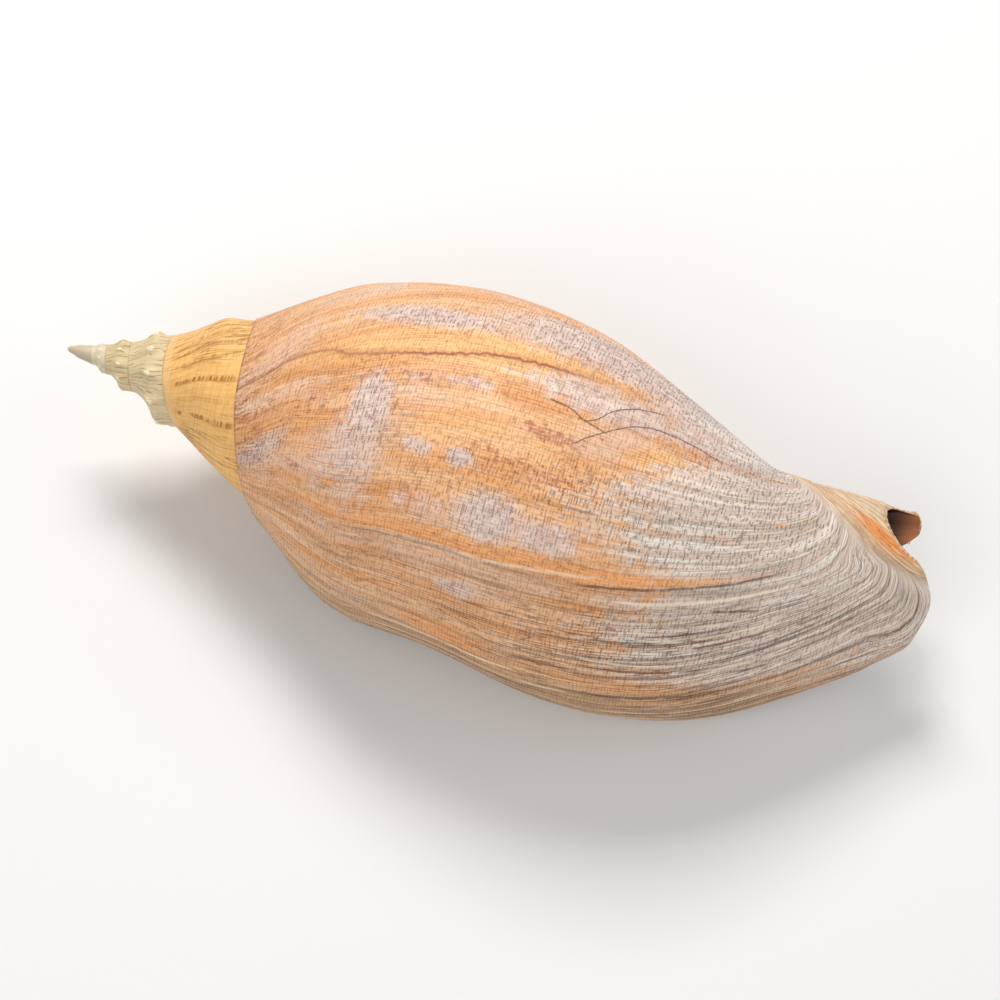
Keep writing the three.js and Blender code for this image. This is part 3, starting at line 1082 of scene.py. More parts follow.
    def build(self, finishes: Sequence[bpy.types.Material]) -> bpy.types.Object:
        """Cuts the hollow from the outside and places the shell as it rests.

        Args:
            finishes: a material for each kind of face.

        Returns:
            The finished piece, with its place in its mesh.
        """
        shell, hollow = self.solid_shell(), self.hollow()
        for piece in (shell, hollow):
            for finish in finishes:
                piece.data.materials.append(finish)
        cut = shell.modifiers.new("hollow", "BOOLEAN")
        cut.operation = "DIFFERENCE"
        cut.solver = "MANIFOLD"
        cut.object = hollow
        graph = bpy.context.evaluated_depsgraph_get()
        mesh = bpy.data.meshes.new_from_object(shell.evaluated_get(graph), depsgraph=graph)
        shell.modifiers.clear()
        old = shell.data
        shell.data = mesh
        bpy.data.meshes.remove(old)
        bpy.data.objects.remove(hollow)
        mesh.name = "volute_shell"
        mesh.transform(RestPose().matrix())
        self.finish(mesh)
        return shell

    def finish(self, mesh: bpy.types.Mesh) -> None:
        """Keeps the mesh above the floor, and shades it smooth except at its cut edges.

        Args:
            mesh: the mesh.
        """
        points = np.empty(len(mesh.vertices) * 3, np.float32)
        mesh.vertices.foreach_get("co", points)
        points = points.reshape(-1, 3)
        LOG.info("lowest point %.2f mm", points[:, 2].min() / MM)
        points[:, 2] = np.maximum(points[:, 2], 0)
        mesh.vertices.foreach_set("co", points.ravel())
        mesh.polygons.foreach_set("use_smooth", np.ones(len(mesh.polygons), bool))
        mesh.set_sharp_from_angle(angle=math.radians(self.sharp_angle))
        mesh.update()


@dataclass(frozen=True)
class RestPose:
    """The turns and the move that bring the laid out shell to rest on its lip and belly."""

    roll: float = 23
    pitch: float = 0.8
    place: tuple[float, float, float] = (-187.703, 10.811, 57.963)

    def turn(self) -> Matrix:
        """Gives the turn alone."""
        pitch = Matrix.Rotation(math.radians(self.pitch), 4, "Y")
        return pitch @ Matrix.Rotation(math.radians(self.roll), 4, "X")

    def matrix(self) -> Matrix:
        """Gives the turn and the move, in metres."""
        return Matrix.Translation(Vector(self.place) * MM) @ self.turn()


Colour = tuple[float, float, float]


class Signal:
    """A value or colour inside a material. Plain arithmetic with it adds nodes."""

    def __init__(self, graph: Graph, socket: bpy.types.NodeSocket) -> None:
        """Notes the graph and the socket that gives the value."""
        self.graph = graph
        self.socket = socket

    def __add__(self, other: Value) -> Signal:
        """Adds two values."""
        return self.graph.math("ADD", self, other)

    def __sub__(self, other: Value) -> Signal:
        """Takes another value from this one."""
        return self.graph.math("SUBTRACT", self, other)

    def __rsub__(self, other: float) -> Signal:
        """Takes this value from a number."""
        return self.graph.math("SUBTRACT", other, self)

    def __mul__(self, other: Value) -> Signal:
        """Multiplies two values."""
        return self.graph.math("MULTIPLY", self, other)

    def __truediv__(self, other: float) -> Signal:
        """Divides by a number."""
        return self * (1 / other)

    def __abs__(self) -> Signal:
        """Gives the size of a value without its sign."""
        return self.graph.math("ABSOLUTE", self)

    __radd__ = __add__
    __rmul__ = __mul__

    def larger(self, other: Value) -> Signal:
        """Gives the larger of two values."""
        return self.graph.math("MAXIMUM", self, other)

    def smaller(self, other: Value) -> Signal:
        """Gives the smaller of two values."""
        return self.graph.math("MINIMUM", self, other)

    def between(self, start: float, end: float, low: float = 0.0, high: float = 1.0,
                path: str = "LINEAR") -> Signal:
        """Goes from a low to a high value as this one goes from its start to its end, and no further."""
        inputs = {"Value": self, "From Min": start, "From Max": end, "To Min": low, "To Max": high}
        return self.graph.signal("MapRange", "Result", inputs, interpolation_type=path)

    def step(self, start: float, end: float) -> Signal:
        """Goes from 0 to 1, eased, as this value goes from one place to another in either direction.

        Args:
            start: where it is 0.
            end: where it is 1.

        Returns:
            The value from 0 to 1.
        """
        if start < end:
            return self.between(start, end, 0.0, 1.0, "SMOOTHSTEP")
        return self.between(end, start, 1.0, 0.0, "SMOOTHSTEP")

    def teeth(self) -> Signal:
        """Gives how far the value is from the middle of its whole step, from 0 to 0.5."""
        return abs(self.graph.math("FRACT", self) - 0.5)

    def thin(self, width: float) -> Signal:
        """Gives thin lines where a noise crosses its middle value, 1 at their middle and 0 beside them."""
        return abs(self - 0.5).step(width, width * 0.3)

    def read_curve(self, points: Pairs, low: float, high: float) -> Signal:
        """Reads a smooth curve at this value, and holds its ends.

        Args:
            points: pairs of place and value.
            low: the lowest value that the curve may have.
            high: the highest.

        Returns:
            The curve's value.
        """
        first, last = points[0][0], points[-1][0]
        node = self.graph.node("FloatCurve", {"Value": self.between(first, last)})
        line = node.mapping.curves[0]
        while len(line.points) < len(points):
            line.points.new(0.5, 0.5)
        for point, (place, height) in zip(line.points, points):
            point.location = ((place - first) / (last - first), (height - low) / (high - low))
        node.mapping.update()
        return Signal(self.graph, node.outputs["Value"]).between(0.0, 1.0, low, high)

    def ramp(self, stops: Sequence[tuple[float, Colour]]) -> Signal:
        """Turns this value into a colour by stops, which are places and colours in order.

        Args:
            stops: the places and their colours.

        Returns:
            The colour.
        """
        low, high = stops[0][0], stops[-1][0]
        node = self.graph.node("ValToRGB", {"Fac": self.between(low, high)})
        elements = node.color_ramp.elements
        while len(elements) < len(stops):
            elements.new(1.0)
        for element, (place, colour) in zip(elements, stops):
            element.position = (place - low) / (high - low)
            element.color = (*colour, 1.0)
        return Signal(self.graph, node.outputs["Color"])


Value = Signal | float
Tone = Signal | Colour
Inputs = dict[str | int, Value | Tone]


class Graph:
    """A material and its nodes, added one after another."""

    def __init__(self, name: str) -> None:
        """Starts a material with a Principled surface and nothing else.

        Args:
            name: the material's name.
        """
        self.material = bpy.data.materials.new(name)
        self.material.use_nodes = True
        self.tree = self.material.node_tree
        self.tree.nodes.clear()
        self.surface = self.node("BsdfPrincipled", {})
        output = self.node("OutputMaterial", {})
        self.tree.links.new(self.surface.outputs["BSDF"], output.inputs["Surface"])

    def feed(self, socket: bpy.types.NodeSocket, value: Value | Tone) -> None:
        """Links a socket to a signal, or sets its own value.

        Args:
            socket: the socket.
            value: what it takes.
        """
        if isinstance(value, Signal):
            self.tree.links.new(value.socket, socket)
        elif isinstance(value, tuple) and socket.type == "RGBA":
            socket.default_value = (*value, 1.0)
        else:
            socket.default_value = value

    def node(self, kind: str, inputs: Inputs, **settings: str | bool) -> bpy.types.Node:
        """Adds a node.

        Args:
            kind: its type, without the word that all shader nodes start with.
            inputs: what its sockets take, by name or number.
            settings: its other properties.

        Returns:
            The node.
        """
        node = self.tree.nodes.new(f"ShaderNode{kind}")
        for name, setting in settings.items():
            setattr(node, name, setting)
        for socket, value in inputs.items():
            self.feed(node.inputs[socket], value)
        return node

    def signal(self, kind: str, output: str | int, inputs: Inputs, **settings: str | bool) -> Signal:
        """Adds a node and gives what comes out of one of its sockets."""
        return Signal(self, self.node(kind, inputs, **settings).outputs[output])

    def attribute(self, name: str) -> list[Signal]:
        """Reads a vector attribute of the mesh as three values."""
        vector = self.signal("Attribute", "Vector", {}, attribute_name=name)
        return [Signal(self, output) for output in self.node("SeparateXYZ", {0: vector}).outputs]

    def alpha(self, name: str) -> Signal:
        """Reads the fourth value of a colour attribute."""
        return self.signal("Attribute", "Alpha", {}, attribute_name=name)

    def math(self, operation: str, a: Value, b: Value = 0.0) -> Signal:
        """Works out one step of arithmetic."""
        return self.signal("Math", 0, {0: a, 1: b}, operation=operation)

    def vector(self, x: Value, y: Value, z: Value = 0.0) -> Signal:
        """Puts three values together."""
        return self.signal("CombineXYZ", 0, {0: x, 1: y, 2: z})

    def noise(self, vector: Signal, detail: float, rough: float = 0.5, distort: float = 0.0,
              scale: float = 1.0) -> Signal:
        """Reads noise at a vector, with values round 0.5."""
        inputs = {"Vector": vector, "Scale": scale, "Detail": detail, "Roughness": rough}
        return self.signal("TexNoise", "Fac", inputs | {"Distortion": distort})

    def mix(self, share: Value, a: Tone, b: Tone, blend: str = "MIX") -> Signal:
        """Mixes two colours; the share is that of the second."""
        inputs = {"Factor": share, 6: a, 7: b}
        return self.signal("Mix", 2, inputs, data_type="RGBA", blend_type=blend, clamp_factor=True)

    def bump(self, height: Signal, distance: float, strength: float) -> None:
        """Gives the surface a relief; the distance is in metres."""
        relief = self.signal("Bump", "Normal", {"Strength": strength, "Distance": distance, "Height": height})
        self.set("Normal", relief)

    def set(self, name: str, value: Value | Tone) -> None:
        """Sets one of the surface's own sockets."""
        self.feed(self.surface.inputs[name], value)


# Where the red-brown wavy line runs: distance along the axis and growth line.
WAVY_LINE = ((78, -0.425), (110, -0.424), (128, -0.409), (156, -0.402), (182, -0.412), (232, -0.42))
# Cracks in the outer layer: distance along the axis and growth.
CRACKS = (
    ((222, -0.352), (236, -0.376), (248, -0.391), (266, -0.394), (280, -0.387)),
    ((208, -0.384), (217, -0.381), (223, -0.375), (233, -0.37)),
    ((221, -0.375), (227, -0.378), (234, -0.395), (253, -0.416)),
)
# Rows of small brown dashes on the whorl before the last: growth line and strength.
DASHED_ROWS = ((-1.355, 0.95), (-1.268, 1.0), (-1.405, 0.5), (-1.44, 0.6), (-1.475, 0.5), (-1.31, 0.25))
LIP_LINES = 4
LIP_LINE_NEAREST = 0.015
LIP_LINE_SPREAD = 1.3


@dataclass(frozen=True)
class DrawnLine:
    """A line that follows the growth lines: where it starts and ends, along the axis and by growth line."""

    start: float
    end: float
    line_start: float
    line_end: float
    strength: float


def lip_lines(first: int, strength: float) -> tuple[DrawnLine, ...]:
    """Gives every other line that runs along the whole lip. They lie closer together towards its edge."""
    places = [-LIP_LINE_NEAREST * LIP_LINE_SPREAD**number for number in range(first, 2 * LIP_LINES, 2)]
    return tuple(DrawnLine(110, 345, place, place, strength) for place in places)


# Dark lines of painted shadow below the steps that pauses in growth left, the lip's own steps included.
DARK_STEP_SHADOWS = (
    DrawnLine(130, 230, -0.24, -0.24, 0.4),
    DrawnLine(230, 320, -0.24, -0.25, 0.8),
    DrawnLine(290, 310, -0.22, -0.21, 0.8),
    DrawnLine(280, 320, -0.18, -0.18, 0.8),
    DrawnLine(240, 300, -0.16, -0.15, 0.8),
    DrawnLine(300, 320, -0.14, -0.13, 0.6),
    DrawnLine(170, 320, -0.12, -0.11, 0.9),
    DrawnLine(210, 240, -0.3, -0.3, 0.4),
    *lip_lines(1, 0.5),
)
# Pale lines of painted highlight on the same steps.
PALE_STEP_HIGHLIGHTS = (
    DrawnLine(110, 150, -0.1, -0.12, 0.9),
    DrawnLine(150, 230, -0.12, -0.13, 0.8),
    DrawnLine(120, 250, -0.09, -0.11, 0.8),
    DrawnLine(180, 250, -0.24, -0.25, 0.5),
    DrawnLine(250, 320, -0.23, -0.23, 0.8),
    DrawnLine(270, 320, -0.19, -0.19, 0.9),
    DrawnLine(240, 290, -0.17, -0.16, 0.7),
    DrawnLine(290, 330, -0.15, -0.14, 0.7),
    *lip_lines(0, 0.6),
)
# The stripes of the ridge round the open end: reach and colour.
FASCIOLE_STRIPES = (
    (399, (0.60, 0.48, 0.36)),
    (404, (0.62, 0.42, 0.26)),
    (409, (0.72, 0.45, 0.24)),
    (412, (0.84, 0.31, 0.085)),
    (416, (0.82, 0.27, 0.065)),
    (419, (0.82, 0.46, 0.22)),
    (421.5, (0.86, 0.70, 0.50)),
    (424, (0.76, 0.42, 0.18)),
    (427, (0.86, 0.74, 0.58)),
    (432, (0.72, 0.38, 0.15)),
    (440, (0.82, 0.60, 0.38)),
    (450, (0.66, 0.36, 0.17)),
    (465, (0.76, 0.50, 0.28)),
)
# The colours of the older whorls, by growth.
SPIRE_TONES = (
    (-5.0, (0.76, 0.67, 0.50)),
    (-4.05, (0.64, 0.55, 0.39)),
    (-3.8, (0.64, 0.52, 0.29)),
    (-3.0, (0.68, 0.54, 0.30)),
    (-2.1, (0.70, 0.56, 0.34)),
    (-1.88, (0.86, 0.52, 0.20)),
    (-1.2, (0.88, 0.51, 0.165)),
    (-0.8, (0.84, 0.46, 0.155)),
)


@dataclass(frozen=True)
class OutsideTones:
    """The colours of the outside. The last four are laid over another colour by multiplying it."""

    orange: Colour = (0.75, 0.325, 0.105)
    peach: Colour = (0.86, 0.48, 0.24)
    gold: Colour = (0.93, 0.49, 0.18)
    bright_orange: Colour = (0.88, 0.38, 0.13)
    worn_white: Colour = (0.77, 0.62, 0.55)
    lavender: Colour = (0.61, 0.49, 0.495)
    worn_grey: Colour = (0.51, 0.46, 0.405)
    cream: Colour = (0.88, 0.68, 0.46)
    tan: Colour = (0.50, 0.29, 0.14)
    silver: Colour = (0.88, 0.85, 0.78)
    # the painted highlight on the steps of growth pauses
    step_highlight: Colour = (0.96, 0.80, 0.58)
    tan_stripe: Colour = (0.62, 0.40, 0.23)
    dark: Colour = (0.075, 0.048, 0.036)
    red_brown: Colour = (0.30, 0.075, 0.025)
    dash_brown: Colour = (0.42, 0.17, 0.03)
    smooth_band: Colour = (0.82, 0.52, 0.25)
    knob_tip: Colour = (0.95, 0.86, 0.62)
    deepened: Colour = (0.38, 0.26, 0.2)
    stained: Colour = (0.62, 0.38, 0.36)
    old_deepened: Colour = (0.74, 0.62, 0.46)
    old_wrinkled: Colour = (0.46, 0.33, 0.22)


class OutsideFinish:
    """The outside: orange to grey-white, with fine growth lines, cracks across them and worn patches.

    Noises are named by their periods in millimetres, across and along the growth lines.
    """

    row_width: float = 1.6
    column_width: float = 1.4
    old_growth_rate: float = 0.7
    body_end: Span = (404, 396)
    old_whorls: Span = (-0.72, -0.86)
    grown: Span = (-4.3, -3.4)
    coarse_lines: Span = (-0.245, -0.19)
    coarse_along: Span = (150, 270)
    near_suture_along: Span = (134, 106)
    near_suture_growth: Span = (-0.14, -0.24)
    ridge: Span = (397, 405)
    ridge_growth: Span = (-0.95, -0.8)
    plain_ridge: Span = (-0.33, -0.39)
    gold_whorl: Span = (-1.98, -1.84)
    wavy_line_from: Span = (130, 155)
    wavy_line_to: Span = (240, 200)
    relief_height: float = 0.0004  # metres

    def __init__(self, tones: OutsideTones) -> None:
        """Reads what the mesh stores, and the noises that several layers share.

        Args:
            tones: the colours.
        """
        self.tones = tones
        self.graph = graph = Graph("shell_outside")
        self.line, self.along, self.growth = graph.attribute("growth")
        self.reach, self.across, self.stain = graph.attribute("place")
        self.white, self.grey, self.gold = graph.attribute("zones")
        self.bright, self.raised, self.hatched = graph.attribute("more_zones")
        self.tan, self.knob = graph.alpha("zones"), graph.alpha("more_zones")
        self.length = self.line * TURN_LENGTH
        rate = self.old_growth_rate
        self.old_length = graph.math("EXPONENT", self.line * rate) * (TURN_LENGTH / rate)
        self.streaks = self.noise(10, 85, 3, detail=4, rough=0.65, distort=0.2)
        self.waves = self.noise(2.5, 36, detail=2.5, rough=0.6, distort=0.1)
        self.mottle = self.noise(6, 6, 11, detail=4, rough=0.65)
        self.fleck = self.noise(1.1, 1.1, 23, rough=0.6)
        self.body = self.reach.step(*self.body_end)
        self.old = self.growth.step(*self.old_whorls)
        self.full_grown = self.growth.step(*self.grown) * self.across.step(-0.3, 0)
        self.coarse = self.line.step(*self.coarse_lines) * (0.3 + self.reach.step(*self.coarse_along) * 0.7)
        sway = (self.noise(24, 60, 33, detail=1.5) - 0.5) * 4
        self.row = (self.length / self.row_width + sway).teeth()
        sway = (self.noise(20, 8, 37) - 0.5) * 2.6
        self.column = (self.along / self.column_width + sway).teeth()

    def noise(self, lengthwise: float, crosswise: float, shift: float = 0.0, detail: float = 2.0,
              rough: float = 0.5, distort: float = 0.0, old: bool = False) -> Signal:
        """Reads noise on the shell.

        Args:
            lengthwise: its period across the growth lines.
            crosswise: its period along the axis.
            shift: picks the pattern.
            detail: how many finer noises are laid over it.
            rough: how strong those are.
            distort: how far it is warped.
            old: whether the periods are true on the small older whorls, rather than on the last one.

        Returns:
            The noise, with values round 0.5.
        """
        length = self.old_length if old else self.length
        place = self.graph.vector(length / lengthwise, self.along / crosswise, shift)
        return self.graph.noise(place, detail, rough, distort)

    def build(self) -> bpy.types.Material:
        """Makes the material.

        Returns:
            The material.
        """
        graph, tones = self.graph, self.tones
        ticks, veins, crack = self.ticks(), self.veins(), self.cracks()
        colour = self.ridged(self.last_whorl())
        light = self.row.step(0.34, 0.1) * self.column.step(0.4, 0.15)
        colour = graph.mix(light * self.body * 0.22, colour, tones.cream)
        colour = self.darkened(colour, ticks, 0.78)
        colour = self.darkened(colour, veins, 0.8)
        colour = self.lined(self.wavy_line(self.near_suture(colour)))
        older, wrinkles = self.spire()
        colour = graph.mix(self.old, self.fasciole(colour), older)
        graph.set("Base Color", graph.mix(crack * 0.7, colour, tones.dark))
        graph.set("Roughness", 0.42 + self.mottle * 0.2)
        graph.set("Specular IOR Level", 0.4)
        height = self.waves + self.fleck * 0.3 - veins * 0.5 - ticks * 0.45 - crack
        graph.bump(height * (1.0 - self.old) + wrinkles * self.old, self.relief_height, 0.85)
        return graph.material

    def darkened(self, colour: Signal, share: Value, strength: float) -> Signal:
        """Darkens a colour towards a deep brown of its own; it draws the shell's dark marks and also painted
        shade.

        Args:
            colour: the colour to start from.
            share: where it is darkened, from 0 to 1.
            strength: how much at most.

        Returns:
            The new colour.
        """
        graph, tones = self.graph, self.tones
        deep = graph.mix(0.38, graph.mix(1.0, colour, tones.deepened, "MULTIPLY"), tones.dark)
        return graph.mix(share * strength, colour, deep)

    def ticks(self) -> Signal:
        """Gives the short dark cracks across the growth lines, which crowd where the shell is worn.

        Returns:
            Where they show, from 0 to 1.
        """
        broken = self.noise(2.8, 2, 29).step(0.42, 0.58)
        crossing = self.column.step(0.25, 0.42) * self.row.step(0.46, 0.3)
        loose = self.noise(12, 1.6, 17, detail=1).thin(0.04)
        share = 0.56 + (self.grey * 0.22 + self.white * 0.25 + self.hatched * 0.5)
        return crossing.larger(loose * 0.7) * broken * self.body * share.smaller(1.0)

    def veins(self) -> Signal:
        """Gives the thin dark growth lines.

        Returns:
            Where they show, from 0 to 1.
        """
        long_lines = self.noise(5.5, 75, 51, detail=3, rough=0.55, distort=0.1).thin(0.018)
        broken = self.noise(4.2, 20, 61, rough=0.6).step(0.44, 0.58)
        fine = self.row.step(0.33, 0.45) * broken
        return (long_lines * 0.9).larger(fine) * (0.4 + self.coarse * 0.55) * self.body

    def last_whorl(self) -> Signal:
        """Colours the last whorl: orange, gold, worn white and grey, with torn edges.

        Returns:
            The colour.
        """
        mix, tones = self.graph.mix, self.tones
        broad = self.noise(30, 55, 7)
        columns = self.noise(70, 5, 71, detail=3, rough=0.6)
        lined = (self.streaks - 0.5) * 1.7
        torn = (self.mottle - 0.5) * 1.3 + (columns + self.waves - 1.0) * 0.6
        colour = mix(self.streaks.step(0.36, 0.64), tones.orange, tones.peach)
        colour = mix(broad.step(0.46, 0.66) * 0.4, colour, tones.worn_white)
        colour = mix((columns - 0.5).step(0.02, 0.16) * 0.25, colour, tones.orange)
        colour = mix((self.gold + lined * 0.8).step(0.15, 1.1) * 0.9, colour, tones.gold)
        colour = mix((self.tan + lined * 0.6).step(0.1, 1.05), colour, tones.tan)
        colour = mix((self.bright + lined * 0.5).step(0.3, 0.75), colour, tones.bright_orange)
        jagged = (self.noise(2.4, 3.2, 19) - 0.5) * 4.2
        stained = mix(1.0, colour, tones.stained, "MULTIPLY")
        colour = mix((self.stain + jagged).step(0.45, 1.0) * 0.7, colour, stained)
        pale = mix(self.mottle.step(0.4, 0.62), tones.lavender, tones.worn_white)
        colour = mix((self.white + torn).step(0.1, 1.0) * 0.82, colour, pale)
        grey = mix(self.streaks.step(0.4, 0.6), tones.worn_grey, tones.worn_white)
        grey = mix(self.noise(2, 60, 47).step(0.48, 0.6) * 0.75, grey, tones.silver)
        return mix((self.grey + (torn + lined)).step(0.15, 0.95) * 0.88, colour, grey)

    def ridged(self, colour: Signal) -> Signal:
        """Paints highlights on raised growth lines and shade in low ones, most towards the lip, then adds
        pale and dark layered streaks.

        Args:
            colour: the colour to start from.

        Returns:
            The new colour.
        """
        mix, cream = self.graph.mix, self.tones.cream
        level = self.raised * 0.5 + (self.waves - 0.5) * 1.6
        strength = 0.3 + self.line.step(-0.25, -0.19) * 0.5
        # high is a painted highlight on the ridge tops, low is painted shade in the grooves between them.
        high, low = level.step(0.08, 0.5) * (strength * 0.75), level.step(-0.08, -0.5) * (strength * 0.7)
        colour = mix(high, colour, mix(0.6, colour, cream))
        colour = self.darkened(colour, low, 0.62)
        layers = self.noise(3.6, 105, 45, detail=2.5, rough=0.6)
        colour = mix(layers.step(0.54, 0.64) * (self.coarse * 0.6), colour, mix(0.55, colour, cream))
        return self.darkened(colour, layers.step(0.47, 0.37) * self.coarse, 0.72)

    def near_suture(self, colour: Signal) -> Signal:
        """Adds slanting red-brown streaks by the suture of the last whorl, and paints shade along the suture.

        Args:
            colour: the colour to start from.

        Returns:
            The new colour.
        """
        here = self.reach.step(*self.near_suture_along) * self.growth.step(*self.near_suture_growth)
        streak = self.noise(6.5, 9, 81, detail=4, rough=0.7, distort=0.9).thin(0.035)
        broken = self.noise(12, 12, 83).step(0.42, 0.56)
        colour = self.graph.mix(streak * broken * here * 0.75, colour, self.tones.red_brown)
        # A thin line of painted shade along the suture.
        edge = (self.across + (self.mottle - 0.5) * 0.04).step(0.02, 0.006)
        return self.darkened(colour, edge, 0.4)

    def lined(self, colour: Signal) -> Signal:
        """Adds pale lines of painted highlight and dark lines of painted shadow that follow the steps of
        pauses in growth.
        """
        colour = self.graph.mix(self.drawn(PALE_STEP_HIGHLIGHTS) * 0.8, colour, self.tones.step_highlight)
        return self.darkened(colour, self.drawn(DARK_STEP_SHADOWS), 1.0)

    def drawn(self, lines: Sequence[DrawnLine]) -> Signal:
        """Gives where some lines show, from 0 to 1, a little uneven and broken.

        Args:
            lines: the lines.

        Returns:
            Where they show.
        """
        gaps = self.noise(60, 12, 91, detail=3, rough=0.6).step(0.32, 0.46)
        warped = self.line + (self.noise(90, 7, 93, detail=3) - 0.5) * 0.0035
        shares = []
        for line in lines:
            at = self.along.between(line.start, line.end, line.line_start, line.line_end)
            half = (line.end - line.start) / 2
            inside = abs(self.along - (line.start + half)).step(half, half * 0.7)
            shares.append(abs(warped - at).step(0.0021, 0.0006) * (inside * line.strength))
        return reduce(Signal.larger, shares) * gaps

    def fasciole(self, colour: Signal) -> Signal:
        """Colours the ridge round the open end: cream and orange stripes that follow it.

        Args:
            colour: the colour to start from.

        Returns:
            The new colour.
        """
        graph, tones = self.graph, self.tones
        fine = graph.noise(graph.vector(self.reach * 0.62, self.line * 10, 3), detail=3)
        thin = graph.noise(graph.vector(self.reach * 1.25, self.line * 16, 9), detail=2)
        past = (self.growth + 0.27).larger(0.0)
        place = self.reach + (fine - 0.5) * 5 - past * 60
        plain = graph.mix(fine.step(0.4, 0.6), tones.tan_stripe, tones.cream)
        stripes = graph.mix(self.growth.step(*self.plain_ridge) * 0.8, place.ramp(FASCIOLE_STRIPES), plain)
        stripes = self.darkened(stripes, thin.thin(0.05), 0.5)
        stripes = graph.mix(thin.step(0.56, 0.7) * 0.5, stripes, tones.cream)
        here = place.step(*self.ridge) * self.growth.step(*self.ridge_growth)
        return graph.mix(here, colour, stripes)

    def spire(self) -> tuple[Signal, Signal]:
        """Gives the colour of the older whorls, from gold through cream to pale grey, with painted shade
        along their sutures, and their relief.

        Returns:
            The colour and the relief.
        """
        mix, tones = self.graph.mix, self.tones
        tone = (self.growth + (self.mottle - 0.5) * 0.1 * self.full_grown).ramp(SPIRE_TONES)
        deep = mix(1.0, tone, tones.old_deepened, "MULTIPLY")
        gold = self.growth.step(*self.gold_whorl)
        soft = self.noise(1.4, 14, 67, old=True)
        tone = mix(soft.step(0.42, 0.66) * 0.35, tone, deep)
        spiral = self.noise(30, 0.9, 5, rough=0.6, old=True)
        tone = mix(spiral.step(0.44, 0.64) * (0.08 + gold * 0.3), tone, deep)
        smooth = self.across.step(0.13, 0.08) * gold
        tone = mix(smooth * 0.5, tone, tones.smooth_band)
        sway = self.old_length / 2.1 + (self.noise(5, 9, 95, old=True) - 0.5) * 2.4
        broken = self.noise(3, 7, 96, old=True).step(0.38, 0.55)
        wrinkles = sway.teeth().step(0.37, 0.48) * broken
        long_lines = self.noise(2.4, 30, 97, rough=0.55, old=True).thin(0.028)
        middle = self.line.step(-1.41, -1.38) * self.line.step(-1.22, -1.25)
        gold_share = (0.8 - middle * 0.55) * (long_lines * gold)
        cream_share = wrinkles * (1.0 - gold) * self.full_grown
        share = (gold_share + cream_share * 0.75) * (1.0 - smooth * 0.7)
        tone = self.dashed(mix(share, tone, mix(1.0, tone, tones.old_wrinkled, "MULTIPLY")))
        tone = mix(self.knob.step(0.5, 0.85) * 0.7, tone, tones.knob_tip)
        # Painted shade along the sutures of the older whorls.
        edge = self.across.step(0.03, 0.006) * self.growth.step(-4.7, -4.2)
        return self.darkened(tone, edge, 0.3), share * -0.6 + soft * (self.full_grown * 0.6)

    def dashed(self, colour: Signal) -> Signal:
        """Adds rows of small brown dashes that follow old growth lines.

        Args:
            colour: the colour to start from.

        Returns:
            The new colour.
        """
        dashes = self.noise(40, 1.25, 99, detail=1).step(0.44, 0.56)
        worn = self.noise(40, 9, 101).step(0.3, 0.42)
        warped = self.line + (dashes - 0.5) * 0.003
        rows = [abs(warped - at).step(0.0085, 0.003) * strength for at, strength in DASHED_ROWS]
        inside = self.across.step(0.14, 0.22) * self.across.step(1.02, 0.92)
        share = reduce(Signal.larger, rows) * inside * ((0.45 + dashes) * worn)
        return self.graph.mix(share * 0.75, colour, self.tones.dash_brown)

    def wavy_line(self, colour: Signal) -> Signal:
        """Adds the thin red-brown line at an old pause in growth.

        Args:
            colour: the colour to start from.

        Returns:
            The new colour.
        """
        at = self.along.read_curve(WAVY_LINE, -0.44, -0.39)
        gap = abs(self.line + (self.noise(60, 3.2, 103) - 0.5) * 0.007 - at)
        sharp = gap.step(0.0022, 0.0006) * (0.3 + self.along.step(*self.wavy_line_from) * 0.25)
        share = (sharp + gap.step(0.008, 0.001) * 0.3) * self.along.step(*self.wavy_line_to)
        return self.graph.mix(share, colour, self.tones.red_brown)

    def cracks(self) -> Signal:
        """Gives where the outer layer is cracked, from 0 to 1.

        Returns:
            Where they show.
        """
        warped = self.growth + (self.mottle - 0.5) * 0.004
        shares = []
        for points in CRACKS:
            start, end = points[0][0], points[-1][0]
            share = abs(warped - self.along.read_curve(points, -0.45, -0.34)).step(0.001, 0.0002)
            shares.append(share * (self.along.step(start - 1, start + 1) * self.along.step(end + 1, end - 1)))
        return reduce(Signal.larger, shares)


@dataclass(frozen=True)
class InsideFinish:
    """The inside: a smooth glaze, cream-orange by the lip and browner deep in, with painted shadow in the
    canal at the open end.
    """

    lip: Colour = (0.74, 0.50, 0.30)
    deep: Colour = (0.62, 0.33, 0.15)
    streak: Colour = (0.80, 0.60, 0.42)
    # Painted shadow deep in the canal, and the lighter painted shade towards its end.
    canal_shadow: Colour = (0.07, 0.026, 0.011)
    canal_end_shade: Colour = (0.36, 0.128, 0.042)
    lip_growth: Span = (-0.25, -0.02)
    # Where the painted canal shadow begins, and where it lightens towards the end.
    canal_along: Span = (325, 350)
    canal_end_along: Span = (352, 364)
    relief_height: float = 0.0003  # metres

    def build(self) -> bpy.types.Material:
        """Makes the material.

        Returns:
            The material.
        """
        graph = Graph("shell_inside")
        line, along, growth = graph.attribute("growth")
        streaks = graph.noise(graph.vector(line * 60, along * 0.012), detail=4, rough=0.6)
        mottle = graph.noise(graph.vector(line * 90, along * 0.2, 5), detail=3)
        colour = graph.mix(growth.step(*self.lip_growth), self.deep, self.lip)
        colour = graph.mix(streaks.step(0.4, 0.65) * 0.35, colour, self.streak)
        # Painted shadow in the canal, lighter towards its end.
        canal_shadow = graph.mix(along.step(*self.canal_end_along), self.canal_shadow, self.canal_end_shade)
        graph.set("Base Color", graph.mix(along.step(*self.canal_along), colour, canal_shadow))
        graph.set("Roughness", 0.2 + mottle * 0.2)
        graph.set("Coat Weight", along.step(*reversed(self.canal_along)) * 0.35)
        graph.set("Coat Roughness", 0.15)
        graph.bump(streaks, self.relief_height, 0.6)
        return graph.material


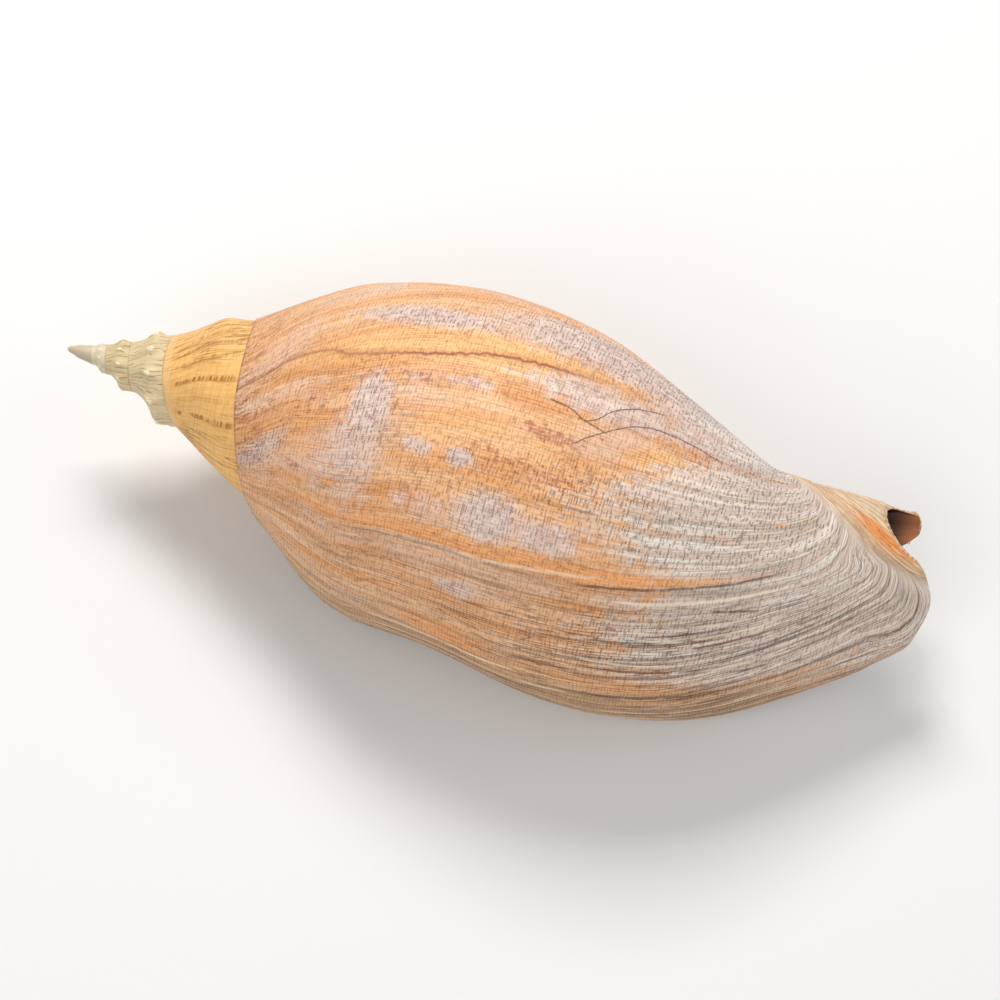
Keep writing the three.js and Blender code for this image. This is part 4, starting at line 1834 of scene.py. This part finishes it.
@dataclass(frozen=True)
class EdgeFinish:
    """The lip's edge and the margin of the open end: layers of cream and tan."""

    cream: Colour = (0.78, 0.58, 0.38)
    tan: Colour = (0.42, 0.22, 0.10)
    layers_per_metre: float = 900
    relief_height: float = 0.0003  # metres

    def build(self) -> bpy.types.Material:
        """Makes the material.

        Returns:
            The material.
        """
        graph = Graph("shell_edge")
        place = graph.signal("TexCoord", "Object", {})
        layers = graph.noise(place, detail=3, rough=0.7, scale=self.layers_per_metre)
        graph.set("Base Color", graph.mix(layers.step(0.4, 0.6), self.tan, self.cream))
        graph.set("Roughness", 0.55)
        graph.bump(layers, self.relief_height, 0.8)
        return graph.material


@dataclass(frozen=True)
class PhotoView:
    """The camera, from how the laid out shell lies in the photograph's frame of 1000 by 1000 pixels."""

    roll: float = 0.2042
    pitch: float = -4.9483
    tilt: float = 15.2909
    aim: tuple[float, float, float] = (190, 0, 0)
    aim_pixel: tuple[float, float] = (501.57, 463.65)
    pixels_per_mm: float = 2.3795
    distance: float = 1200
    picture: int = 1000
    sensor: float = 36

    def build(self, rest: RestPose) -> bpy.types.Object:
        """Makes the camera and sets it as the scene's.

        Args:
            rest: how the laid out shell was brought to rest.

        Returns:
            The camera.
        """
        roll, pitch, tilt = (math.radians(angle) for angle in (self.roll, self.pitch, self.tilt))
        flat = Vector((math.cos(pitch), math.sin(pitch) * math.sin(roll), math.sin(pitch) * math.cos(roll)))
        across = Vector((0, -math.cos(roll), math.sin(roll)))
        back = Vector((-math.sin(pitch), math.cos(pitch) * math.sin(roll), math.cos(pitch) * math.cos(roll)))
        right = flat * math.cos(tilt) - across * math.sin(tilt)
        up = -(flat * math.sin(tilt) + across * math.cos(tilt))
        turn = rest.turn().to_3x3()
        axes = Matrix([turn @ right, turn @ up, turn @ back]).transposed()
        place = rest.matrix() @ ((Vector(self.aim) + self.distance * back) * MM)
        data = bpy.data.cameras.new("camera")
        camera = bpy.data.objects.new("camera", data)
        bpy.context.scene.collection.objects.link(camera)
        camera.matrix_world = Matrix.Translation(place) @ axes.to_4x4()
        data.sensor_width = self.sensor
        data.lens = self.pixels_per_mm * self.distance / self.picture * self.sensor
        middle = self.picture / 2
        data.shift_x = (middle - self.aim_pixel[0]) / self.picture
        data.shift_y = (self.aim_pixel[1] - middle) / self.picture
        data.clip_start = 0.05
        data.clip_end = 20
        bpy.context.scene.camera = camera
        return camera


@dataclass(frozen=True)
class Lamp:
    """A soft studio light: a square panel that faces the shell."""

    name: str
    place: tuple[float, float, float]
    size: float
    power: float
    colour: Colour = (1.0, 1.0, 1.0)

    def build(self) -> None:
        """Makes the light."""
        data = bpy.data.lights.new(self.name, "AREA")
        data.shape = "SQUARE"
        data.size = self.size
        data.energy = self.power
        data.color = self.colour
        light = bpy.data.objects.new(self.name, data)
        light.location = self.place
        aim = Vector((0, 0, 0.06)) - Vector(self.place)
        light.rotation_mode = "QUATERNION"
        light.rotation_quaternion = aim.to_track_quat("-Z", "Y")
        bpy.context.scene.collection.objects.link(light)


@dataclass(frozen=True)
class Studio:
    """A plain pale floor and soft light."""

    floor_size: float = 6
    floor_colour: Colour = (0.80, 0.79, 0.77)
    lamps: tuple[Lamp, ...] = (
        Lamp("key", (-0.36, 0.76, 1.12), 0.45, 15.3, (1.0, 0.985, 0.96)),
        Lamp("fill", (-0.25, -1.0, 0.95), 1.2, 8.3, (1.0, 0.99, 0.97)),
        Lamp("front", (1.0, 0.1, 0.6), 0.9, 3, (0.96, 0.98, 1.0)),
    )
    sky: Colour = (0.9, 0.93, 1.0)
    sky_strength: float = 0.34

    def build(self) -> None:
        """Makes the floor, the lights and the sky."""
        grid = bmesh.new()
        bmesh.ops.create_grid(grid, x_segments=1, y_segments=1, size=self.floor_size / 2)
        mesh = bpy.data.meshes.new("floor")
        grid.to_mesh(mesh)
        grid.free()
        floor = bpy.data.objects.new("floor", mesh)
        bpy.context.scene.collection.objects.link(floor)
        graph = Graph("floor")
        graph.set("Base Color", self.floor_colour)
        graph.set("Roughness", 0.9)
        mesh.materials.append(graph.material)
        for lamp in self.lamps:
            lamp.build()
        world = bpy.data.worlds.new("studio")
        world.use_nodes = True
        sky = world.node_tree.nodes["Background"]
        sky.inputs["Color"].default_value = (*self.sky, 1.0)
        sky.inputs["Strength"].default_value = self.sky_strength
        bpy.context.scene.world = world


def tie(shell: bpy.types.Object) -> None:
    """Ties the shell to the frame, where it takes the place of the solid.

    Args:
        shell: the finished piece.
    """
    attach(shell, "root")
    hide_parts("shell")


def main() -> None:
    """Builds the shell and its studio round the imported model."""
    logging.basicConfig(level=logging.INFO, format="%(message)s")
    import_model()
    rest = RestPose()
    PhotoView().build(rest)
    form = ShellForm()
    relief = GrowthRelief(form)
    finishes = (OutsideFinish(OutsideTones()).build(), InsideFinish().build(), EdgeFinish().build())
    shell = ShellMesh(form, relief, Zones(form, relief)).build(finishes)
    tie(shell)
    triangles = sum(len(face.vertices) - 2 for face in shell.data.polygons)
    LOG.info("%s: %d triangles", shell.name, triangles)
    Studio().build()
    bpy.context.scene.view_settings.view_transform = "Standard"


if __name__ == "__main__":
    main()
